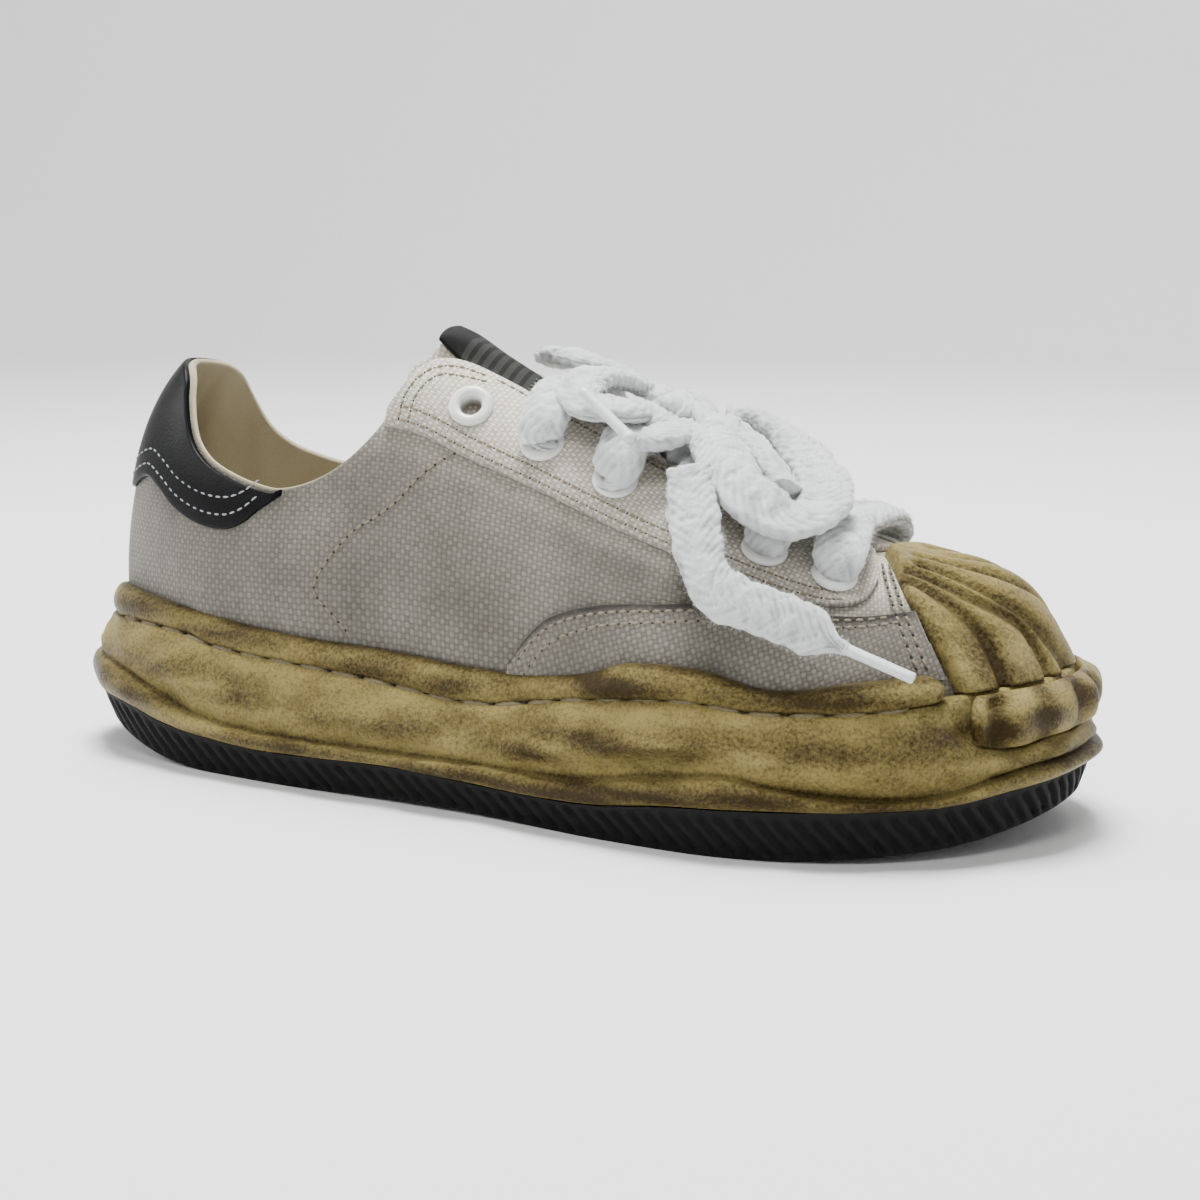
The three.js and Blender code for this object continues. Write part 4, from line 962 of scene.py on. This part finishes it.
points = np.concatenate([flank.reshape(-1, 3), under.reshape(-1, 3)])
faces = np.concatenate([grid_faces(rows, len(s), closed=True),
                        grid_faces(under_rows, len(h), start=rows * len(s))[:, ::-1]])
make_piece("outsole_tread", points, faces, [black_rubber], ["outsole"])
print("outsole faces", len(faces))

# %% [markdown]
# ## Upper
# One wall of canvas, 2 mm thick with its lining: it goes up the outside, over the collar's
# rolled edge and down the inside. The faces around each eyelet are left out, so the holes are
# real. Walking made soft creases across the vamp and the quarter sags a little, and these are
# drawn as troughs and ridges.

# %% Upper
CREASES = [
    ((27.0, 0.46), (30.5, 0.30), 1.6, -0.7), ((36.0, 0.47), (38.8, 0.30), 1.4, -0.6),
    ((33.2, 0.47), (35.6, 0.22), 1.5, 0.5), ((15.5, 0.30), (18.5, 0.12), 2.2, -0.8),
    ((12.5, 0.28), (10.5, 0.10), 2.2, 0.6), ((4.5, 0.24), (7.5, 0.10), 2.0, -0.7),
    ((20.5, 0.44), (22.5, 0.10), 2.6, 0.6), ((2, 0.4), (2.5, 0.15), 2.0, 0.5)]
T_STRETCH = 14


# How far places are from a short straight line
def off_line(x, y, a, b):
    line = np.subtract(b, a)
    f = np.clip(((x - a[0]) * line[0] + (y - a[1]) * line[1]) / (line @ line), 0, 1)
    return np.hypot(x - a[0] - f * line[0], y - a[1] - f * line[1])


# Distance from a crease is measured in stations, with t stretched to match
def crease_relief(station, t):
    c, total = from_heel(station), 0.0
    for (s0, t0), (s1, t1), width, height in CREASES:
        gap = off_line(c, t * T_STRETCH, (s0, t0 * T_STRETCH), (s1, t1 * T_STRETCH))
        total = total + height * bell(gap * 1.5, width)
    return total


all_eyelets = [*EYELETS, *(100 - e for e in EYELETS)]
axis_points = skin(np.array(all_eyelets), EYELET_ROW)
axis_normals = surface_normal(np.array(all_eyelets), np.full(12, EYELET_ROW))


# True for faces that no eyelet goes through
def clear_of_holes(centres, radius=4.1):
    keep = np.ones(len(centres), bool)
    for point, normal in zip(axis_points, axis_normals):
        away = centres - point
        depth = away @ normal
        keep &= (np.linalg.norm(away - depth[:, None] * normal, axis=1) > radius) | (abs(depth) > 8)
    return keep


# Darker towards the bottom of the upper: partly grime, partly painted shade from light falling from
# above. The thin dark line just above the foxing is painted shadow with dirt, and the darker toe is
# dirt.
def canvas_soil_and_shade(station, t):
    above = np.clip(t - rib_at(station, around(FOXING_TOP, station)), 0, 1)
    grime_and_low_shade = 0.98 * (1 - ramp(t, 0.3, 0.72)) + 0.15 * np.exp(-above / 0.06)
    toe = ramp(from_heel(station), 36, 41) * 0.3
    return np.minimum(0.03 + grime_and_low_shade + toe, 0.88)


s = np.arange(0, 100, 0.25)
edge, foot = edge_height(s), rib_at(s, bed(outline(s, FEATHER_INSET)[:, 0]))
up_rows = np.concatenate([np.linspace(0, 0.97, 70), [0.985, 0.995]])
profile = [(f, 0.0) for f in up_rows] + [(1.0, -0.25), (1.0, -0.7), (1.0, -1.3), (1.0, -1.75)]
profile += [(f, -2.0) for f in up_rows[::-1]]
share, out = (np.array(v)[:, None] for v in zip(*profile))
roll = np.where(share == 1.0, 0.004 * np.sin(np.pi * -out / 2), 0)
t = np.minimum(mix(foot, edge, share) + roll, 1)
station = np.broadcast_to(s, t.shape)
folds = 0.45 * np.sin(station * 1.7) + 0.3 * np.sin(station * 3.1 + 8 * t)
relief = crease_relief(station, t) * ramp(edge - t, 0, 0.06)
relief = relief + np.where(out <= -2, folds * ramp(edge - t, 0.01, 0.12), 0)
points = skin(station, t, out + relief)
faces = grid_faces(len(profile), len(s), closed=True)
kinds = (np.arange(len(profile) - 1) >= len(up_rows) - 1).repeat(len(s)).astype(int)
keep = clear_of_holes(points.reshape(-1, 3)[faces].mean(1))
inside_soil = 0.35 * ramp(from_heel(station), 7, 0) + 0.1
soil_and_shade = np.where(out > -0.5, canvas_soil_and_shade(station, t), inside_soil)
make_piece("canvas_upper", points, faces[keep], [canvas, lining], ["upper"],
           cloth_uv(station, t), soil_and_shade, kinds[keep])
print("upper faces", int(keep.sum()))

# %% [markdown]
# ## Eyestays, side patches and heel tab
# These are laid on the upper. The canvas ones have their edge turned in, so it is thick and
# round, and they are sewn with two rows of stitches. The heel tab is smooth leather with a
# cut edge.

# %% Overlays
EYESTAY_START, EYESTAY_END = 18.5, 39.9
PATCH_START, PATCH_END = 24.4, 41.4
SEAT, OVERLAY_TOP = 0.4, 1.8
SIDES = ((-1, "outer"), (1, "inner"))
row_f, row_lift = eased(26)[:, None], edge_lift(26)[:, None]
column_f = eased(150, 0.01)
both_lift = np.minimum(row_lift, edge_lift(150))

for side, word in SIDES:
    c = mix(EYESTAY_START, EYESTAY_END, column_f)
    low = smooth(EYESTAY_LOWER, c)
    high = np.minimum(np.maximum(edge_height(c) + 0.004, low + 0.02), 0.985)
    t = mix(low, high, row_f)
    station = np.broadcast_to(on_side(c, side), t.shape)
    relief = crease_relief(station, t) * 0.7
    panel(f"canvas_eyestay_{word}", station, t, mix(SEAT, OVERLAY_TOP, both_lift) + relief,
          np.minimum(SEAT, SEAT + relief) - 0.1, [canvas], [f"eyestay_{word}"],
          canvas_soil_and_shade(station, t) + 0.12 * (1 - both_lift), clear_of_holes, turn=-0.28 * side)

for side, word in SIDES:
    c = mix(PATCH_START, PATCH_END, column_f)
    foot = rib_at(c, around(FOXING_TOP, on_side(c, side)) - 1.5)
    high = np.maximum(smooth(PATCH_UPPER, c), foot + 0.03)
    t = mix(foot, high, row_f)
    front = smooth(CAP_REAR, t) + 0.3
    station = on_side(c + (front - PATCH_END) * ramp(c, 37, PATCH_END), side)
    lift = np.where(row_f < 0.5, 1, both_lift)
    top = mix(SEAT, OVERLAY_TOP - 0.2, lift) + crease_relief(station, t) * 0.8
    panel(f"canvas_patch_{word}", station, t, top, 0.2, [canvas],
          [f"side_patch_{word}"], canvas_soil_and_shade(station, t) + 0.25 * bell(1 - row_f, 0.12),
          turn=0.35 * side)

tab_s = mix(-14.1, 14.1, eased(170, 0.01))
low = smooth(HEEL_TAB_LOWER, np.abs(tab_s))
high = np.maximum(edge_height(tab_s) - 0.008, low + 0.012)
t = mix(low, high, row_f)
lift = np.minimum(row_lift, edge_lift(170))
pad = 0.5 * np.sin(np.pi * row_f) * ramp(np.abs(tab_s), 14, 9)
panel("leather_heel_tab", np.broadcast_to(tab_s, t.shape), t, mix(SEAT, 1.7, lift) + pad, 0.2,
      [leather], ["heel_tab"])
print("overlays made")

# %% [markdown]
# ## Toe cap
# The cap is rubber pressed over the toe and pleated like a shell: troughs run forward from
# its rear edge and fan out. Each trough is a given line seen from above, and the
# surface sinks by how near it is. The dark spray stayed in the troughs.

# %% Toe cap
CAP_TROUGHS = [
    [(259, -24), (266, -28.3), (271, -29.6), (274, -31)],
    [(256, -17), (268, -18.2), (275, -18), (280, -19), (284, -21)],
    [(256, -13.5), (269, -13.5), (277, -10.5), (284, -7), (293, -7)],
    [(258, -9), (272, -8.5), (281, -5.5), (289, 0.5), (295, 10)],
    [(256, -3), (268, -2), (278, 3), (286, 12), (291, 21)],
    [(256, 3), (266, 6), (275, 13), (282, 22), (285, 30)],
    [(256, 10), (264, 15), (271, 23), (276, 33)],
    [(257, 18), (262, 25), (266, 33), (269, 39)]]


def trough(x, y, width=1.8):
    depth = np.zeros_like(x)
    for line in CAP_TROUGHS:
        steps = np.linspace(0, len(line) - 1, 24)
        fine = np.stack([smooth(list(enumerate(values)), steps) for values in zip(*line)], -1)
        nearest = np.min([off_line(x, y, a, b) for a, b in zip(fine[:-1], fine[1:])], 0)
        depth = np.maximum(depth, bell(nearest, width))
    return depth


rows, columns = 90, 240
row = np.linspace(0, 1, rows)[:, None]
across = np.linspace(0, 1, columns)[None]
rear = smooth(CAP_REAR, row)
station = mix(rear, 100 - rear, across)
foot = rib_at(station, around(GROOVE, station) + 0.3)
t = mix(foot, 1, row)
plain = last_point(station, t)
valley = trough(plain[..., 0], plain[..., 1]) * (1 - ramp(t, 0.9, 1))
swell = 2.5 * (1 - ramp(t, 0.1, 0.35))
side_edge = np.minimum(across, 1 - across) * (100 - 2 * rear)
edge = np.where(side_edge < 0.5, np.sqrt(np.clip(1 - (1 - side_edge / 0.5) ** 2, 0, 1)), 1)
top = 0.3 + (3.5 + swell - 2.2 * valley + 0.35 * (1 - valley) * ramp(t, 0.1, 0.3)) * edge
band = bell(side_edge - 2.2, 1.2) * ramp(t, 0.6, 0.3)
soil_and_shade = 0.62 * ramp(valley, 0.15, 0.8) + 0.65 * band + 0.2 * ramp(t, 0.2, 0.05)
two_sided("pleated_toe_cap", skin(station, t, top), skin(station, t, 0.2), [cream_rubber],
          ["toe_cap"], soil_and_shade=soil_and_shade)
print(len(CAP_TROUGHS), "troughs")

# %% [markdown]
# ## Tongue, label and insole
# The tongue is canvas, padded a little, and stands up behind the facings. A woven label is
# folded over its top edge: its words are left off, and plain woven stripes take their place.
# The insole has the lining's cotton.

# %% Tongue
TONGUE_REAR = [(0.48, 18.75), (0.54, 18.4), (0.6, 18.6), (0.7, 18.95), (0.8, 19.55), (1, 20)]
TONGUE_SIDE = [(18, 0.49), (24, 0.55), (36, 0.6)]


def tongue_top(c, t):
    return -3.5 + 3.7 * ramp(t - edge_height(c), 0.06, 0.17) * (1 - ramp(c, 22, 28))


f = eased(80, 0.02)
nominal = mix(18.7, 35.5, f)[:, None]
cross = np.linspace(-1, 1, 91)[None]
t = mix(smooth(TONGUE_SIDE, nominal), 1, 1 - np.abs(cross))
c = mix(smooth(TONGUE_REAR, t), 35.5, f[:, None])
station = np.where(cross < 0, c, 100 - c)
lift = edge_lift(80)[:, None] * np.ones_like(t)
lift = np.minimum(lift, ramp(1 - np.abs(cross), 0, 0.04) * 0.8 + 0.2)
top = tongue_top(c, t)
panel("canvas_tongue", station, t, top - 2 * (1 - lift), top - 4 + 2 * (1 - lift), [canvas],
      ["tongue"], 0.1)

label_cloth, tree, shader = new_material("woven_stripe_label")
cloth = cloth_place(tree)
lengthwise = maths(tree, "MULTIPLY", add(tree, "SeparateXYZ", {0: cloth}).outputs[0], 1000.0)
bars = ranged(tree, maths(tree, "SINE", maths(tree, "MULTIPLY", lengthwise, 2.1)), 0.1, 0.35)
grey = blend(tree, bars, colour("#2A2C28"), colour("#0B0C0B"))
black_end = ranged(tree, lengthwise, 6.0, 6.4, 1.0, 0.0)
dress(tree, shader, blend(tree, black_end, grey, colour("#0D0D0D")),
      noise(tree, cloth, 3000.0, 2.0), 0.0002, 0.7, {"Roughness": 0.75, "Specular IOR Level": 0.2})

LABEL_REAR, LABEL_FRONT, LABEL_HALF, LABEL_MIDDLE = 120.5, 152.0, 9.5, -2.6
x = np.linspace(LABEL_REAR, LABEL_FRONT, 50)[:, None] + np.zeros((1, 31))
y = np.linspace(-1, 1, 31)[None] * LABEL_HALF + LABEL_MIDDLE + 0 * x
c, middle_y = smooth([(x_top, s) for s, x_top in TOP_X], x), smooth(TOP_Y, x)
station = np.where(y < middle_y, c, 100 - c)
t_low, t_high = np.full(x.shape, 0.6), np.ones(x.shape)
for _ in range(22):
    t_mid = (t_low + t_high) / 2
    too_far = np.abs(last_point(station, t_mid)[..., 1] - middle_y) > np.abs(y - middle_y)
    t_low, t_high = np.where(too_far, t_mid, t_low), np.where(too_far, t_high, t_mid)
over, under = (skin(station, t_high, tongue_top(c, t_high) + lift) for lift in (1.9, 1.1))
two_sided("folded_label", over, under, [label_cloth], ["tongue_label"],
          np.stack([x - LABEL_REAR, y], -1))

INSOLE_INSET, INSOLE_ROWS, INSOLE_THICKNESS = FEATHER_INSET + 3, 41, 2.2
h = np.linspace(0, 50, 120)
xy = mix(outline(h, INSOLE_INSET), outline(100 - h, INSOLE_INSET),
         np.linspace(0, 1, INSOLE_ROWS)[:, None, None])
from_edge = np.minimum(np.arange(INSOLE_ROWS), np.arange(INSOLE_ROWS)[::-1])[:, None]
z = bed(xy[..., 0]) + 2.6 + 1.32 * np.exp(-from_edge / 3.0)
over = np.concatenate([xy, z[..., None]], -1)
two_sided("cotton_insole", over, over - [0, 0, INSOLE_THICKNESS], [lining],
          ["insole"], xy, 0.45)
print("tongue, label and insole made")

# %% [markdown]
# ## Eyelets
# Stamped brass rings with white enamel. The flange is rolled, so its section is a small
# arch, and the barrel goes down through canvas and lining. One section turned round its
# axis makes each ring.

# %% Eyelets
angle = circle(40)[:, None]
arch = np.linspace(0, np.pi, 14)
ring_r = np.concatenate([[3.8, 3.8], 4.6 + 1.6 * np.cos(arch), [3.0, 3.0]])
ring_z = np.concatenate([[-2.4, 1.9], 1.95 + 1.35 * np.sin(arch), [1.0, -2.4]])
for index, (point, normal) in enumerate(zip(axis_points, axis_normals)):
    side = unit(np.cross(normal, [0, 0, 1]))
    around_axis = np.cos(angle) * side + np.sin(angle) * np.cross(normal, side)
    points = point + ring_r[:, None, None] * around_axis + ring_z[:, None, None] * normal
    points = np.concatenate([points, points[:1]])
    place = f"{'outer' if index < 6 else 'inner'}_{index % 6 + 1}"
    make_piece(f"enamel_ring_{place}", points, grid_faces(len(points), len(angle), closed=True),
               [enamel], [f"eyelet_{place}"])
print("flange is", 2 * float(ring_r.max()), "mm wide")

# %% [markdown]
# ## Stitches
# A machine seam is a row of short threads, each pulled down at both ends. Every seam here is
# a path on the last: the stitches are laid along it by their real length and joined in one
# mesh per seam, with a dark needle hole between them, painted shade of the hole with some
# dirty thread.


# %% Stitches
def stitch_rows(name, rows, length, gap, radius, material, sides=6, sag=0.35,
                hole=needle_hole_shade_and_grime, rings=6, twist=0.0):
    blocks, faces, kinds = [], [], []
    angle, f = circle(sides), np.linspace(0, 1, rings)
    shape = np.interp(f, [0, 0.12, 0.32, 0.68, 0.88, 1], [0.25, 0.75, 1, 1, 0.75, 0.25])
    for path, lift in rows:
        distance = along(path)
        begin = np.arange(gap, distance[-1] - length, length + gap)
        parts = [(b, length, 0) for b in begin]
        if hole is not None:
            parts += [(b - gap, gap, 1) for b in begin]
        for start, wide, kind in parts:
            at = start + f * wide
            line, up_way = sample(at, distance, path), sample(at, distance, lift)
            side = unit(np.cross(np.gradient(line, axis=0), up_way))
            drop = np.full(rings, -sag * 0.55) if kind else (shape - 1) * sag
            strands = 1 + twist * np.cos(3 * angle + at[:, None] * 2.4)
            thick = shape[:, None] * strands * radius * (0.95 if kind else 1)
            spokes = (side[:, None] * np.cos(angle)[:, None]
                      + up_way[:, None] * np.sin(angle)[:, None] * 0.8)
            blocks.append((line + up_way * drop[:, None])[:, None] + thick[..., None] * spokes)
            faces.append(grid_faces(rings, sides, closed=True, start=len(faces) * rings * sides))
            kinds.append(np.full((rings - 1) * sides, kind))
    return make_piece(name, np.concatenate(blocks), np.concatenate(faces),
                      [material, hole or material], kinds=np.concatenate(kinds))


def seam(station, t, out, share=0.75):
    relief = crease_relief(station, t) * share
    return skin(station, t, out + relief), surface_normal(station, t)


def fair_line(places):
    station, t = np.array(places).T
    key = along(np.stack([station, t * T_STRETCH], 1))
    key = key / key[-1]
    fine = np.linspace(0, 1, 200)
    return [smooth(np.stack([key, values], 1), fine) for values in (station, t)]


c = np.linspace(19.1, 38.6, 300)
lines = [(c, smooth(EYESTAY_LOWER, c) + d, OVERLAY_TOP) for d in (0.022, 0.06)]
c = np.linspace(22.4, 37.6, 240)
lines += [(c, edge_height(c) - 0.03, OVERLAY_TOP)]
for d in (0.0, 0.42):
    back_line = [(19.15 + d, 0.5), (19.25 + d, 0.58), (19.9 + d, 0.68),
                 (20.9 + d, 0.755 - d * 0.05), (22.2, 0.80 - d * 0.07)]
    lines += [(*fair_line(back_line), OVERLAY_TOP)]
lines += [(*fair_line(QUARTER_SEAM), 0.12, 1.0)]
c = np.linspace(24.9, 40.7, 24)
s, t = fair_line(list(zip(c, smooth(PATCH_UPPER, c) - 0.022)))
lines += [(s + d * 8, t - d, OVERLAY_TOP - 0.2) for d in (0.0, 0.026)]
t = np.linspace(0.26, 0.84, 120)
lines += [(smooth(CAP_REAR, t) - d, t, OVERLAY_TOP) for d in (0.35, 0.8)]
for side, word in SIDES:
    rows = [seam(on_side(s, side), *rest) for s, *rest in lines]
    stitch_rows(f"canvas_seams_{word}", rows, 2.2, 0.85, 0.42, thread)

s = np.linspace(-13.2, 13.2, 400)
rows = [seam(s, smooth(HEEL_TAB_LOWER, np.abs(s)) + d, 1.85 + 4 * d, 0) for d in (0.028, 0.062)]
stitch_rows("heel_tab_seams", rows, 2.2, 0.8, 0.27, white_thread, hole=None)

s = np.linspace(57.9, 142.1, 900)
line = side_points(s, 6.9 + at_heel(s) * 1.3, around(GROOVE, s) + 0.35)
lift = unit(np.concatenate([outwards(s), np.full((len(s), 1), 0.5)], 1))
stitch_rows("sole_lockstitch", [(line, lift)], 9.4, 1.2, 0.85, sole_thread,
            sides=12, sag=0.7, rings=20, twist=0.16)
print("seams sewn")

# %% [markdown]
# ## Light and floor
# The shoe stands in a pale bowl: a floor that curves up all round. One strong light overhead
# gives the dark flanks and bright top of the photo, two weak ones lift the near side and the
# heel, and the last is for the backdrop alone.

# %% Light and floor
SHOE_MIDDLE = (0, 0, 0.05)
LIGHTS = [("key_light", (0.3, -0.8, 1.2), 0.4, 7, SHOE_MIDDLE),
          ("top_light", (-0.1, 0.1, 1.5), 0.6, 58, SHOE_MIDDLE),
          ("left_light", (-1.3, -0.4, 0.7), 0.5, 9, SHOE_MIDDLE),
          ("backdrop_light", (0, 0.9, 1.9), 1.6, 45, (0, 2.4, 0.4))]
for name, place, size, power, target in LIGHTS:
    data = bpy.data.lights.new(name, "AREA")
    data.size, data.energy = size, power
    light = bpy.data.objects.new(name, data)
    light.location = place
    light.rotation_euler = (Vector(target) - Vector(place)).to_track_quat("-Z", "Y").to_euler()
    bpy.context.scene.collection.objects.link(light)

world = bpy.data.worlds.new("studio")
world.use_nodes = True
sky = world.node_tree.nodes["Background"].inputs
sky[0].default_value, sky[1].default_value = colour("#FFFFFF"), 0.12
bpy.context.scene.world = world
floor_material, tree, shader = new_material("pale_floor")
shader.inputs["Base Color"].default_value = colour("#E6E6E6")
shader.inputs["Roughness"].default_value = 0.9
bend = np.linspace(0, math.pi / 2, 16)
profile = [(0.01, 0.0), *zip(1.9 + 0.8 * np.sin(bend), 0.8 - 0.8 * np.cos(bend)), (2.7, 3.0)]
turn = circle(96)
points = [(r * math.cos(a), r * math.sin(a), z) for r, z in profile for a in turn]
faces = grid_faces(len(profile), len(turn), closed=True).tolist()
sweep_mesh = bpy.data.meshes.new("studio_sweep")
sweep_mesh.from_pydata(points, [], faces)
sweep_mesh.polygons.foreach_set("use_smooth", np.ones(len(faces), bool))
sweep_mesh.materials.append(floor_material)
sweep = bpy.data.objects.new("studio_sweep", sweep_mesh)
bpy.context.scene.collection.objects.link(sweep)
